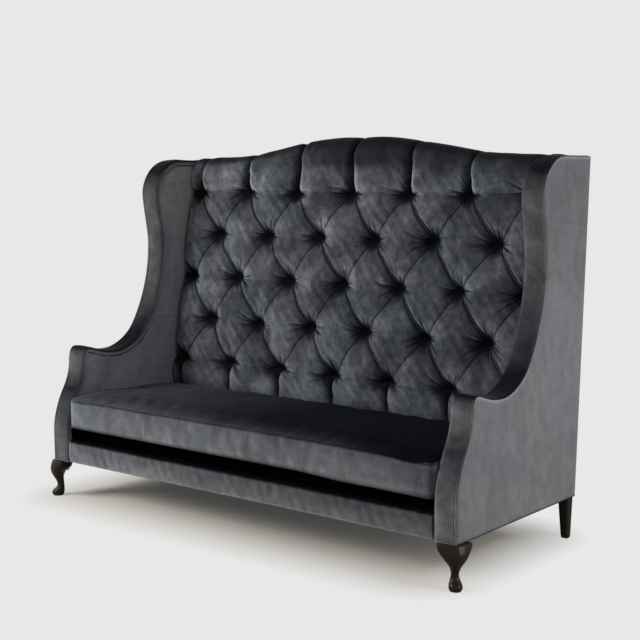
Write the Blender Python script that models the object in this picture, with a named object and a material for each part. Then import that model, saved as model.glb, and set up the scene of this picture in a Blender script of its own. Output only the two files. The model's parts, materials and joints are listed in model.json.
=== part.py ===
"""Wing-back settee with a deep-buttoned camel back: frame, springs, pads, covers, cushion and legs.

Metres, +Z up, front towards -Y. While a piece is made, y = 0 is the front plane of the seat rail; at the end
everything is carried by one empty that puts the origin on the floor under the middle of the settee.
"""

import math

import bmesh
import bpy
from mathutils import Vector

# Overall sizes
WIDTH = 2.06
WING_HEIGHT = 1.43
CREST_OVER_WING = 0.012
CREST_RISE = 0.088
BASE_HEIGHT = 0.156
BASE_DEPTH = 0.813
OUTSIDE_LEAN = 0.060
FIT = 0.0003

# Places on the side outline: depth, and height over the top of the arm
ARM_SCOOP = (0.048, -0.179)
ARM_FRONT = (0.084, -0.066)
ARM_DIP = (0.280, -0.030)
WING_SWEEP = (0.460, 0.069)

# Places on the side outline: depth, and drop under the top of the wing
WING_WAIST = (0.565, 0.370)
WING_NOSE = (0.537, 0.140)

# Arms and wings
ARM_BELLY = 0.008
ARM_BELLY_RISE = 0.129
ARM_HEIGHT = 0.641
ARM_TOP_DEPTH = 0.118
WING_TOP_DEPTH = 0.690
WING_THICKNESS = 0.10
OUTSIDE_SKIN = 0.006
INSIDE_WING_PAD = 0.033
BORDER_THICKNESS = 0.022
BORDER_CROWN = 0.008
SEAM_SETBACK = 0.005
OUTLINE_STEPS = 5

# Wooden frame
RAIL_THICKNESS = 0.033
RAIL_HEIGHT = 0.077
SIDE_RAIL_THICKNESS = 0.030
SEAT_BACK_RAIL_RISE = 0.055
SEAT_BACK_RAIL_THICKNESS = 0.030
BRACE_WIDTH = 0.045
BRACE_HEIGHT = 0.047
BRACE_SPREAD = 0.62
CORNER_BLOCK = 0.090
POST_DEPTH = 0.050
ARM_RAIL_HEIGHT = 0.092
WING_FOOT_DEPTH = 0.355
WING_POST_DEPTH = 0.055
WING_RAIL_HEIGHT = 0.095
CREST_RAIL_HEIGHT = 0.112
STILE_WIDTH = 0.045
STILE_DEPTH = 0.035
STILE_SPREAD = 0.62
CLEAT = 0.020
CLEAT_HEIGHT = 0.025

# Springs, webbing and the deck under the cushion
FRONT_BORDER_HEIGHT = 0.0953
FRONT_BORDER_ROLL = 0.015
FRONT_BORDER_CROWN = 0.003
DECK_THICKNESS = 0.0534
DECK_SETBACK = 0.036
SPRING_COUNT = 12
SPRING_WIDTH = 0.052
SPRING_WIRE = 0.0018
SPRING_BARS = 13
TIE_WIRE = 0.0013
WEB_COUNT = 5
WEB_WIDTH = 0.050
WEB_THICKNESS = 0.002
DUST_COVER_THICKNESS = 0.002

# Deep-buttoned inside back
BUTTON_PITCH = 0.290
BUTTON_ROWS = 5
TOP_ROW_DROP = 0.149
BOTTOM_ROW_RISE = 0.232
BACK_THICKNESS = 0.090
INSIDE_LEAN = 0.171
PAD_UNDER_BUTTON = 0.020
PUFF_CROWN = 0.045
CREASE_RIDGE = 0.030
CREST_PAD = 0.030
CREST_ROLL = 0.085
CREST_ROLL_SHARE = 0.85
CREST_SCALLOP = 0.009
CREST_SHOULDER = 0.68
CREST_SADDLE = 0.12
CREST_REAR_LIP = 0.012
BUTTON_RADIUS = 0.014
BUTTON_DOME = 0.007

# Loose seat cushion
CUSHION_FRONT = 0.001
CUSHION_BACK_GAP = 0.011
CUSHION_SIDE_GAP = 0.003
CUSHION_EDGE = 0.112
CUSHION_FRONT_CROWN = 0.022
CUSHION_CROWN = 0.018
CUSHION_COLUMNS = 20
CUSHION_ROWS = 8
CUSHION_ROUNDING = 0.012
BOXING_DRAW_IN = 0.006

# Legs and their bolts
BACK_LEG_TOP = 0.042
BACK_LEG_FOOT = 0.028
BACK_LEG_EDGE = 0.002
BOLT_RADIUS = 0.004
BOLT_HOLE_RADIUS = 0.0048
BOLT_IN_LEG = 0.050
BOLT_IN_POST = 0.050

# Front leg: height as a share of the leg, reach out and in along the diagonal, width, squareness
CABRIOLE = (
    (1.00, 0.004, 0.080, 0.122, 1.35),
    (0.92, 0.009, 0.080, 0.120, 1.40),
    (0.80, 0.014, 0.074, 0.104, 1.60),
    (0.68, 0.013, 0.052, 0.078, 1.80),
    (0.56, 0.005, 0.042, 0.050, 2.00),
    (0.42, -0.008, 0.041, 0.031, 2.00),
    (0.31, -0.013, 0.042, 0.028, 2.00),
    (0.22, -0.007, 0.043, 0.036, 2.00),
    (0.14, 0.007, 0.043, 0.045, 2.00),
    (0.06, 0.010, 0.041, 0.047, 2.00),
    (0.00, 0.005, 0.037, 0.039, 2.00),
)

# Places worked out from the sizes above
HALF = WIDTH / 2
INNER_FACE = HALF - WING_THICKNESS
SKIN_FACE = HALF - OUTSIDE_SKIN - FIT
FRAME_FACE = INNER_FACE + INSIDE_WING_PAD + 2 * FIT
RAIL_END = FRAME_FACE - FIT
DUST_TOP = BASE_HEIGHT + DUST_COVER_THICKNESS
FRAME_BOTTOM = DUST_TOP + FIT
RAIL_TOP = FRAME_BOTTOM + RAIL_HEIGHT
RAIL_FRONT = BORDER_THICKNESS - ARM_BELLY + 6 * FIT
RAIL_BACK = RAIL_FRONT + RAIL_THICKNESS
FRAME_INSET = BORDER_THICKNESS + FIT
DECK_BOTTOM = BASE_HEIGHT + FRONT_BORDER_HEIGHT
DECK_TOP = DECK_BOTTOM + DECK_THICKNESS
SEAT_BACK_RAIL_TOP = DECK_TOP + SEAT_BACK_RAIL_RISE
ARM_RAIL_BOTTOM = ARM_HEIGHT - ARM_RAIL_HEIGHT
WING_RAIL_BOTTOM = WING_HEIGHT - WING_RAIL_HEIGHT
CREST_END_HEIGHT = WING_HEIGHT + CREST_OVER_WING
CREST_RAIL_BOTTOM = CREST_END_HEIGHT - CREST_RAIL_HEIGHT
TOP_ROW_HEIGHT = CREST_END_HEIGHT - TOP_ROW_DROP
BOTTOM_ROW_HEIGHT = DECK_TOP + BOTTOM_ROW_RISE
BUTTON_ROW_SPACING = (TOP_ROW_HEIGHT - BOTTOM_ROW_HEIGHT) / (BUTTON_ROWS - 1)

VELVET = ((0.085, 0.086, 0.094), 0.85, 0.0)
BLACK_CLOTH = ((0.012, 0.012, 0.013), 0.95, 0.0)
FRAME_WOOD = ((0.55, 0.38, 0.22), 0.7, 0.0)
DARK_WOOD = ((0.030, 0.019, 0.013), 0.35, 0.0)
SPRING_STEEL = ((0.45, 0.45, 0.46), 0.35, 1.0)
JUTE = ((0.36, 0.27, 0.16), 0.95, 0.0)


# Lines and curves
def outside_back(z):
    """Depth of the outside back at a height."""
    return BASE_DEPTH + OUTSIDE_LEAN * (z - BASE_HEIGHT)


def button_depth(z):
    """Depth of the plane that the buttons are pulled down to."""
    return outside_back(TOP_ROW_HEIGHT) - BACK_THICKNESS + INSIDE_LEAN * (z - TOP_ROW_HEIGHT)


def frame_face(z):
    """Depth of the front of the back frame, behind the buttoned pad and its webbing."""
    return button_depth(z) + PAD_UNDER_BUTTON + WEB_THICKNESS + 2 * FIT


def back_post_front(z):
    """Depth of the front edge of the back posts."""
    return outside_back(z) - OUTSIDE_SKIN - FIT - POST_DEPTH


def smooth_step(value):
    value = min(1.0, max(0.0, value))
    return value * value * (3 - 2 * value)


def crest_line(x):
    """Height of the camel back: flat ends that rise to a flat hump."""
    share = (CREST_SHOULDER - abs(x)) / (CREST_SHOULDER - CREST_SADDLE)
    return CREST_END_HEIGHT + CREST_RISE * smooth_step(share)


def pad_columns():
    """Places across the inside back, a sixth of the button pitch apart, with the outer two at its edges."""
    reach = INNER_FACE - FIT
    column_gap = BUTTON_PITCH / 6
    last = int(reach / column_gap)
    places = [column * column_gap for column in range(-last, last + 1)]
    places[0], places[-1] = -reach, reach
    return places


def crest_outline(side, bottom):
    """Outline of a board or cover under the crest pad and the wing borders, as (x, z) points."""
    wing_top = WING_HEIGHT - FRAME_INSET
    step = INNER_FACE + FIT
    places = [step] + pad_columns()[::-1] + [-step]
    crest = [(x, crest_line(x) - CREST_PAD - FIT) for x in places]
    left = [(-step - FIT, wing_top), (-side, wing_top), (-side, bottom)]
    right = [(side, bottom), (side, wing_top), (step + FIT, wing_top)]
    return right + crest + left


def bezier_path(knots, steps):
    """Points along cubic curves through the knots.

    A knot is its place, its heading in degrees, and its handles before and after as shares of the way to the
    knots beside it.
    """
    points = []
    for (start, heading, _, share_after), (end, end_heading, share_before, _) in zip(knots[:-1], knots[1:]):
        start, end = Vector(start), Vector(end)
        reach = (end - start).length
        leave = Vector((math.cos(math.radians(heading)), math.sin(math.radians(heading))))
        arrive = Vector((math.cos(math.radians(end_heading)), math.sin(math.radians(end_heading))))
        handles = (start, start + leave * reach * share_after, end - arrive * reach * share_before, end)
        for step in range(steps):
            t = step / steps
            weights = ((1 - t) ** 3, 3 * (1 - t) ** 2 * t, 3 * (1 - t) * t * t, t**3)
            points.append(sum((h * w for h, w in zip(handles, weights)), Vector((0, 0))))
    points.append(Vector(knots[-1][0]))
    return points


def wing_outline():
    """Front and top edge of a side, from the foot of the arm, over it and up round the wing to the back."""

    def by_arm(place):
        return place[0], ARM_HEIGHT + place[1]

    def by_wing(place):
        return place[0], WING_HEIGHT - place[1]

    knots = (
        ((-ARM_BELLY, BASE_HEIGHT), 90, 0.0, 0.31),
        ((-ARM_BELLY, BASE_HEIGHT + ARM_BELLY_RISE), 90, 0.31, 0.30),
        (by_arm(ARM_SCOOP), 58, 0.32, 0.34),
        (by_arm(ARM_FRONT), 88, 0.34, 0.46),
        ((ARM_TOP_DEPTH, ARM_HEIGHT), 0, 0.30, 0.18),
        (by_arm(ARM_DIP), 0, 0.55, 0.29),
        (by_arm(WING_SWEEP), 57, 0.37, 0.22),
        (by_wing(WING_WAIST), 90, 0.41, 0.35),
        (by_wing(WING_NOSE), 90, 0.30, 0.29),
        ((WING_TOP_DEPTH, WING_HEIGHT), 0, 0.43, 0.30),
        ((outside_back(WING_HEIGHT), WING_HEIGHT), 0, 0.30, 0.0),
    )
    return bezier_path(knots, OUTLINE_STEPS)


def inward_normals(line):
    """Unit normals towards the inside of the wing, to the right of the walk along its outline."""
    normals = []
    for index in range(len(line)):
        heading = (line[min(index + 1, len(line) - 1)] - line[max(index - 1, 0)]).normalized()
        normals.append(Vector((heading.y, -heading.x)))
    normals[0] = Vector((1.0, 0.0))
    normals[-1] = Vector((0.0, -1.0))
    return normals


def gap_to_line(point, line):
    """Least distance from a point to a line of points."""
    least = math.inf
    for start, end in zip(line[:-1], line[1:]):
        along = end - start
        share = min(1.0, max(0.0, (point - start).dot(along) / along.length_squared))
        least = min(least, (point - start - along * share).length)
    return least


def inset_line(line, distance):
    """The line moved inwards; points that a tight bend would fold over are left out."""
    least_gap = 0.985 * distance
    moved = [point + normal * distance for point, normal in zip(line, inward_normals(line))]
    return [point for point in moved if gap_to_line(point, line) > least_gap]


def run_where(line, inside):
    """The first unbroken run of the line where inside(y, z) holds, with each end cut at the limit."""

    def cut(outer, inner):
        for _ in range(30):
            middle = (outer + inner) / 2
            outer, inner = (outer, middle) if inside(*middle) else (middle, inner)
        return inner

    run = []
    for index, point in enumerate(line):
        if inside(*point):
            if not run and index:
                run.append(cut(line[index - 1], point))
            run.append(point)
        elif run:
            run.append(cut(point, line[index - 1]))
            break
    return run


# Objects
def clear_scene():
    for item in list(bpy.data.objects):
        bpy.data.objects.remove(item, do_unlink=True)


def make_material(name, look):
    colour, roughness, metallic = look
    material = bpy.data.materials.new(name)
    material.use_nodes = True
    shader = material.node_tree.nodes["Principled BSDF"]
    shader.inputs["Base Color"].default_value = (*colour, 1.0)
    shader.inputs["Roughness"].default_value = roughness
    shader.inputs["Metallic"].default_value = metallic
    material.diffuse_color = (*colour, 1.0)
    return material


def add_piece(name, bm, look, origin=(0.0, 0.0, 0.0), smooth_angle=None):
    """Makes an object of the mesh, with its faces turned out, its material and its origin at a place."""
    bmesh.ops.recalc_face_normals(bm, faces=bm.faces)
    bmesh.ops.translate(bm, verts=bm.verts, vec=-Vector(origin))
    mesh = bpy.data.meshes.new(name)
    bm.to_mesh(mesh)
    bm.free()
    if smooth_angle is not None:
        mesh.shade_smooth()
        mesh.set_sharp_from_angle(angle=math.radians(smooth_angle))
    mesh.materials.append(make_material(name, look))
    piece = bpy.data.objects.new(name, mesh)
    piece.location = origin
    bpy.context.scene.collection.objects.link(piece)
    return piece


def add_prism(name, outline, place, look, **options):
    """A solid between two copies of an outline; place(point, end) gives the corner at end 0 or 1."""
    bm = bmesh.new()
    ends = [[bm.verts.new(place(point, end)) for point in outline] for end in (0, 1)]
    bm.faces.new(ends[0])
    bm.faces.new(ends[1])
    for index in range(len(outline)):
        following = (index + 1) % len(outline)
        bm.faces.new((ends[0][index], ends[0][following], ends[1][following], ends[1][index]))
    return add_piece(name, bm, look, **options)


def add_board(name, x_range, y_range, z_range, look=FRAME_WOOD, **options):
    """A straight board or sheet, square to the settee."""
    (front, back), (bottom, top) = y_range, z_range
    corners = [(front, bottom), (back, bottom), (back, top), (front, top)]
    return add_prism(name, corners, lambda point, end: (x_range[end], *point), look, **options)


def add_side_plate(name, outline, side, x_inner, x_outer, look, **options):
    """A plate of one side of the settee, cut to an outline of (y, z) points."""
    reach = (side * x_inner, side * x_outer)
    return add_prism(name, outline, lambda point, end: (reach[end], *point), look, **options)


def add_leaning_plate(name, outline, front, back, look, **options):
    """A plate across the settee, cut to (x, z) points, between two depths that lean with height."""
    faces = (front, back)

    def place(point, end):
        return point[0], faces[end](point[1]), point[1]

    return add_prism(name, outline, place, look, **options)


def on_both_sides(make):
    for label, side in (("left", -1), ("right", 1)):
        make(label, side)


# Seat frame
def make_seat_frame():
    across = (-RAIL_END, RAIL_END)
    rail_heights = (FRAME_BOTTOM, RAIL_TOP)
    seat_back_front = frame_face(SEAT_BACK_RAIL_TOP)
    seat_back_rear = seat_back_front + SEAT_BACK_RAIL_THICKNESS
    back_rail_rear = outside_back(BASE_HEIGHT) - OUTSIDE_SKIN - FIT
    back_rail_front = back_rail_rear - RAIL_THICKNESS
    add_board("front_rail", across, (RAIL_FRONT, RAIL_BACK), rail_heights)
    add_board("seat_back_rail", across, (seat_back_front, seat_back_rear), (FRAME_BOTTOM, SEAT_BACK_RAIL_TOP))
    add_board("back_rail", across, (back_rail_front, back_rail_rear), rail_heights)

    cleat_heights = (RAIL_TOP - CLEAT_HEIGHT, RAIL_TOP)
    add_board("spring_cleat_front", across, (RAIL_BACK + FIT, RAIL_BACK + FIT + CLEAT), cleat_heights)
    cleat_depths = (seat_back_front - FIT - CLEAT, seat_back_front - FIT)
    add_board("spring_cleat_back", across, cleat_depths, cleat_heights)

    brace_heights = (FRAME_BOTTOM, FRAME_BOTTOM + BRACE_HEIGHT)
    post_rear = RAIL_FRONT + POST_DEPTH + 2 * FIT
    front_corner = RAIL_BACK + FIT
    back_corner = back_rail_front - FIT
    block = min(CORNER_BLOCK, back_corner - seat_back_rear - FIT)

    def make_side(label, side):
        brace = sorted(side * (BRACE_SPREAD / 2 + half) for half in (-BRACE_WIDTH / 2, BRACE_WIDTH / 2))
        add_board(f"seat_brace_{label}", brace, (RAIL_BACK + FIT, seat_back_front - FIT), brace_heights)
        side_rail = sorted((side * FRAME_FACE, side * (FRAME_FACE + SIDE_RAIL_THICKNESS)))
        side_depths = (post_rear, back_post_front(FRAME_BOTTOM) - FIT)
        add_board(f"side_rail_{label}", side_rail, side_depths, rail_heights)
        for end, corner, reach in (("front", front_corner, block), ("back", back_corner, -block)):
            triangle = ((RAIL_END, corner), (RAIL_END - block, corner), (RAIL_END, corner + reach))
            add_prism(
                f"corner_block_{end}_{label}",
                triangle,
                lambda point, top: (side * point[0], point[1], brace_heights[top]),
                FRAME_WOOD,
            )

    on_both_sides(make_side)


# Arm and wing frames
def make_side_frames(outline):
    edge = inset_line(outline, FRAME_INSET)
    dip_depth = ARM_DIP[0]
    rail_top = run_where(edge, lambda y, z: y <= WING_FOOT_DEPTH)[-1].y
    arm_post = run_where(edge, lambda y, z: FRAME_BOTTOM <= z <= ARM_RAIL_BOTTOM - FIT)
    arm_rail = run_where(edge, lambda y, z: y <= WING_FOOT_DEPTH and z >= ARM_RAIL_BOTTOM)
    wing_post = run_where(edge, lambda y, z: y > dip_depth and rail_top + FIT <= z <= WING_RAIL_BOTTOM - FIT)
    wing_rail = run_where(edge, lambda y, z: z >= WING_RAIL_BOTTOM and y <= back_post_front(z) - FIT)
    top = WING_HEIGHT - FRAME_INSET

    def doubled(run, depth):
        """A bandsawn post: the outline's run, and the same run moved back."""
        return run + [point + Vector((depth, 0)) for point in reversed(run)]

    def rear_corner(z):
        return Vector((back_post_front(z) - FIT, z))

    back_post = (
        (back_post_front(FRAME_BOTTOM), FRAME_BOTTOM),
        (back_post_front(FRAME_BOTTOM) + POST_DEPTH, FRAME_BOTTOM),
        (back_post_front(top) + POST_DEPTH, top),
        (back_post_front(top), top),
    )
    outlines = {
        "arm_post": doubled(arm_post, POST_DEPTH),
        "arm_rail": arm_rail + [rear_corner(rail_top), rear_corner(ARM_RAIL_BOTTOM)],
        "wing_post": doubled(wing_post, WING_POST_DEPTH),
        "wing_rail": wing_rail + [rear_corner(WING_RAIL_BOTTOM)],
        "back_post": back_post,
    }

    def make_side(label, side):
        for name, points in outlines.items():
            add_side_plate(f"{name}_{label}", points, side, FRAME_FACE, SKIN_FACE - FIT, FRAME_WOOD)

    on_both_sides(make_side)


# Frame of the inside back
def make_back_frame():
    stile_ends = (INNER_FACE - STILE_WIDTH / 8, STILE_SPREAD / 2)
    places = (-stile_ends[0], -stile_ends[1], stile_ends[1], stile_ends[0])
    bottom = SEAT_BACK_RAIL_TOP + FIT
    top = CREST_RAIL_BOTTOM - FIT

    def stile_back(z):
        return frame_face(z) + STILE_DEPTH

    for number, centre in enumerate(places, 1):
        left, right = centre - STILE_WIDTH / 2, centre + STILE_WIDTH / 2
        corners = ((left, bottom), (right, bottom), (right, top), (left, top))
        add_leaning_plate(f"back_stile_{number}", corners, frame_face, stile_back, FRAME_WOOD)

    def crest_rail_back(z):
        return outside_back(z) - OUTSIDE_SKIN - FIT

    outline = crest_outline(RAIL_END, CREST_RAIL_BOTTOM)
    add_leaning_plate("crest_rail", outline, frame_face, crest_rail_back, FRAME_WOOD)

    reach = INNER_FACE - FIT
    lowest = SEAT_BACK_RAIL_TOP + WEB_WIDTH
    highest = CREST_RAIL_BOTTOM - WEB_WIDTH
    for number in range(WEB_COUNT):
        middle = lowest + (highest - lowest) * number / (WEB_COUNT - 1)
        low, high = middle - WEB_WIDTH / 2, middle + WEB_WIDTH / 2
        corners = ((-reach, low), (reach, low), (reach, high), (-reach, high))
        add_leaning_plate(
            f"back_web_{number + 1}",
            corners,
            lambda z: frame_face(z) - WEB_THICKNESS - FIT,
            lambda z: frame_face(z) - FIT,
            JUTE,
        )


# Seat springs
def add_tube(bm, points, radius):
    """A square-sided wire along the points, mitred at each and closed at both ends."""
    rings = []
    up = Vector((0, 0, 1))
    for index, point in enumerate(points):
        before = (point - points[index - 1]).normalized() if index else None
        after = (points[index + 1] - point).normalized() if index + 1 < len(points) else None
        heading = (before or after) + (after or before)
        along = (after or before).normalized()
        heading.normalize()
        across = heading.cross(up).normalized()
        stretch = 1 / max(0.5, along.dot(heading))
        lift = across.cross(heading).normalized()
        corners = (across * stretch, lift, -across * stretch, -lift)
        rings.append([bm.verts.new(point + corner * radius) for corner in corners])
    for near, far in zip(rings[:-1], rings[1:]):
        for side in range(4):
            following = (side + 1) % 4
            bm.faces.new((near[side], near[following], far[following], far[side]))
    bm.faces.new(rings[0])
    bm.faces.new(rings[-1])


def make_springs():
    """Zig-zag springs from cleat to cleat, arched up to the deck, all joined by two tie wires."""
    front = RAIL_BACK + 2 * FIT + SPRING_WIRE
    back = frame_face(SEAT_BACK_RAIL_TOP) - 2 * FIT - SPRING_WIRE
    rest = RAIL_TOP + FIT + SPRING_WIRE
    arch = DECK_BOTTOM - FIT - SPRING_WIRE - rest
    pitch = 2 * RAIL_END / SPRING_COUNT
    bar_gap = (back - front) / (SPRING_BARS - 1)

    def height(y):
        share = (y - front) / (back - front)
        return rest + arch * 4 * share * (1 - share)

    springs = bmesh.new()
    for number in range(SPRING_COUNT):
        centre = -RAIL_END + pitch * (number + 0.5)
        wire = []
        for bar in range(SPRING_BARS):
            y = front + bar_gap * bar
            swing = SPRING_WIDTH / 2 * (1 if bar % 2 else -1)
            wire.append(Vector((centre + swing, y, height(y))))
            wire.append(Vector((centre - swing, y, height(y))))
        add_tube(springs, wire, SPRING_WIRE)
    unit = add_piece("seat_spring_unit", springs, SPRING_STEEL)

    reach = RAIL_END - pitch / 2 + SPRING_WIDTH / 2 + TIE_WIRE * 3
    for name, bar in (("tie_wire_front", SPRING_BARS // 3), ("tie_wire_back", 2 * SPRING_BARS // 3)):
        y = front + bar_gap * (bar + 0.5)
        wire = bmesh.new()
        add_tube(wire, [Vector((reach * end, y, height(y))) for end in (-1, 1)], TIE_WIRE)
        cutter = add_piece(name, wire, SPRING_STEEL)
        join = unit.modifiers.new(name, "BOOLEAN")
        join.operation = "UNION"
        join.object = cutter
        hide_helper(cutter)


def hide_helper(helper):
    helper.hide_render = True
    helper.display_type = "WIRE"


# Padding and covers
def make_wing_border(outline, label, side):
    """The padded band round the front and top of a wing, crowned across its width."""
    normals = inward_normals(outline)
    inner, outer = INNER_FACE + 5 * FIT, SKIN_FACE - FIT
    crown = (
        (0.0, BORDER_THICKNESS),
        (0.0, BORDER_CROWN),
        (0.12, BORDER_CROWN * 0.3),
        (0.35, 0.0),
        (0.65, 0.0),
        (0.88, BORDER_CROWN * 0.3),
        (1.0, BORDER_CROWN),
        (1.0, BORDER_THICKNESS),
    )
    bm = bmesh.new()
    rings = []
    for index, (point, normal) in enumerate(zip(outline, normals)):
        near = outline[max(index - 1, 0)]
        far = outline[min(index + 1, len(outline) - 1)]
        turn = normals[max(index - 1, 0)].angle(normals[min(index + 1, len(outline) - 1)], 0.0)
        bend_radius = (far - near).length / max(turn, 0.001)
        deepest = min(BORDER_THICKNESS, bend_radius * 0.75)
        ring = []
        for share, drop in crown:
            spot = point + normal * min(drop, deepest)
            ring.append(bm.verts.new((side * (inner + (outer - inner) * share), spot.x, spot.y)))
        rings.append(ring)
    for near, far in zip(rings[:-1], rings[1:]):
        for corner in range(len(crown)):
            following = (corner + 1) % len(crown)
            bm.faces.new((near[corner], near[following], far[following], far[corner]))
    bm.faces.new(rings[0])
    bm.faces.new(rings[-1])
    add_piece(f"wing_border_{label}", bm, VELVET, smooth_angle=35)


def make_side_covers(outline):
    seam = inset_line(outline, SEAM_SETBACK)
    edge = inset_line(outline, FRAME_INSET)
    foot = Vector((outside_back(BASE_HEIGHT), BASE_HEIGHT))
    skin = run_where(seam, lambda y, z: y <= outside_back(z)) + [foot]
    pad_bottom = DECK_TOP + FIT
    pad = run_where(edge, lambda y, z: z >= pad_bottom and y <= frame_face(z) - FIT)
    pad.append(Vector((frame_face(pad_bottom) - FIT, pad_bottom)))

    def make_side(label, side):
        make_wing_border(outline, label, side)
        add_side_plate(f"outside_wing_{label}", skin, side, SKIN_FACE + FIT, HALF, VELVET)
        add_side_plate(f"inside_wing_{label}", pad, side, INNER_FACE, INNER_FACE + INSIDE_WING_PAD, VELVET)

    on_both_sides(make_side)


def make_front_border():
    """The padded cover of the front rail, rolled over its top to the front edge of the deck."""
    top = DECK_BOTTOM - FIT
    inside = RAIL_FRONT - FIT
    over = RAIL_TOP + FIT
    middle = (BASE_HEIGHT + top) / 2
    roll = FRONT_BORDER_ROLL
    section = (
        (0.3 * roll, BASE_HEIGHT),
        (0.0, BASE_HEIGHT + 0.7 * roll),
        (-FRONT_BORDER_CROWN, middle),
        (0.0, top - 1.4 * roll),
        (0.4 * roll, top - 0.4 * roll),
        (roll, top),
        (RAIL_BACK, top),
        (RAIL_BACK, over),
        (inside, over),
        (inside, BASE_HEIGHT),
    )
    reach = INNER_FACE + 4 * FIT
    ends = (-reach, reach)
    add_prism("front_border", section, lambda point, end: (ends[end], *point), VELVET, smooth_angle=40)


def make_outside_back():
    outline = crest_outline(SKIN_FACE - FIT, BASE_HEIGHT)
    add_leaning_plate("outside_back", outline, lambda z: outside_back(z) - OUTSIDE_SKIN, outside_back, VELVET)


def make_deck():
    depths = (DECK_SETBACK, frame_face(SEAT_BACK_RAIL_TOP) - FIT)
    add_board("seat_deck", (-RAIL_END, RAIL_END), depths, (DECK_BOTTOM, DECK_TOP), BLACK_CLOTH)


def make_dust_cover():
    reach = SKIN_FACE - FIT
    depths = (RAIL_FRONT, outside_back(BASE_HEIGHT) - OUTSIDE_SKIN - FIT)
    return add_board("dust_cover", (-reach, reach), depths, (BASE_HEIGHT, DUST_TOP), BLACK_CLOTH)


# Deep-buttoned inside back
def puff(x, z):
    """How far the pad stands in front of the button plane.

    Between the outer rows the creases join the buttons in diamonds. Above and below them each crease runs
    straight on from its button as a channel.
    """
    across = abs(math.sin(math.pi * x / BUTTON_PITCH))
    if BOTTOM_ROW_HEIGHT <= z <= TOP_ROW_HEIGHT:
        rise = (TOP_ROW_HEIGHT - z) / (2 * BUTTON_ROW_SPACING)
        first = abs(math.sin(math.pi * (x / BUTTON_PITCH + rise)))
        second = abs(math.sin(math.pi * (x / BUTTON_PITCH - rise)))
        ridge = first + second - first * second
        return CREASE_RIDGE * ridge + (PUFF_CROWN - CREASE_RIDGE) * math.sqrt(first * second)
    beyond = max(z - TOP_ROW_HEIGHT, BOTTOM_ROW_HEIGHT - z)
    along = smooth_step(beyond / (0.5 * BUTTON_ROW_SPACING))
    ridge = 1 - (1 - across) ** 2 * (1 - along)
    height = CREASE_RIDGE * ridge + (PUFF_CROWN - CREASE_RIDGE) * across
    if z > TOP_ROW_HEIGHT:
        return height
    # The pleats under the last row flatten towards the deck, where the cushion lies against them.
    return height * (1 - 0.85 * min(1.0, beyond / BOTTOM_ROW_RISE))


def column_profile(x):
    """Front, roll and rear lip of the pad at one place across it, from the deck up and over the crest."""
    deck = DECK_TOP + FIT
    heights = [deck, (deck + BOTTOM_ROW_HEIGHT) / 2]
    third = BUTTON_ROW_SPACING / 3
    heights += [BOTTOM_ROW_HEIGHT + third * step for step in range(3 * (BUTTON_ROWS - 1) + 1)]
    crease = 1 - abs(math.sin(math.pi * x / BUTTON_PITCH))
    crest = crest_line(x) - CREST_SCALLOP * crease
    roll_start = crest - CREST_ROLL
    heights += [TOP_ROW_HEIGHT + (roll_start - TOP_ROW_HEIGHT) * share for share in (0.5, 1.0)]
    profile = [Vector((button_depth(z) - puff(x, z), z)) for z in heights]
    rear = outside_back(crest) - CREST_REAR_LIP
    # The roll rises by its full radius, and reaches back by no more than its share of the pad's thickness.
    reach = min(CREST_ROLL, CREST_ROLL_SHARE * (rear - profile[-1].x))
    top = profile[-1].x + reach
    for degrees in (35, 70):
        angle = math.radians(degrees)
        profile.append(Vector((top - reach * math.cos(angle), roll_start + CREST_ROLL * math.sin(angle))))
    under = crest_line(x) - CREST_PAD
    profile.append(Vector((top, crest)))
    profile.append(Vector((rear, crest - CREST_REAR_LIP / 4)))
    profile.append(Vector((outside_back(crest), crest - CREST_REAR_LIP)))
    profile.append(Vector((outside_back(under), under)))
    return profile


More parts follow.
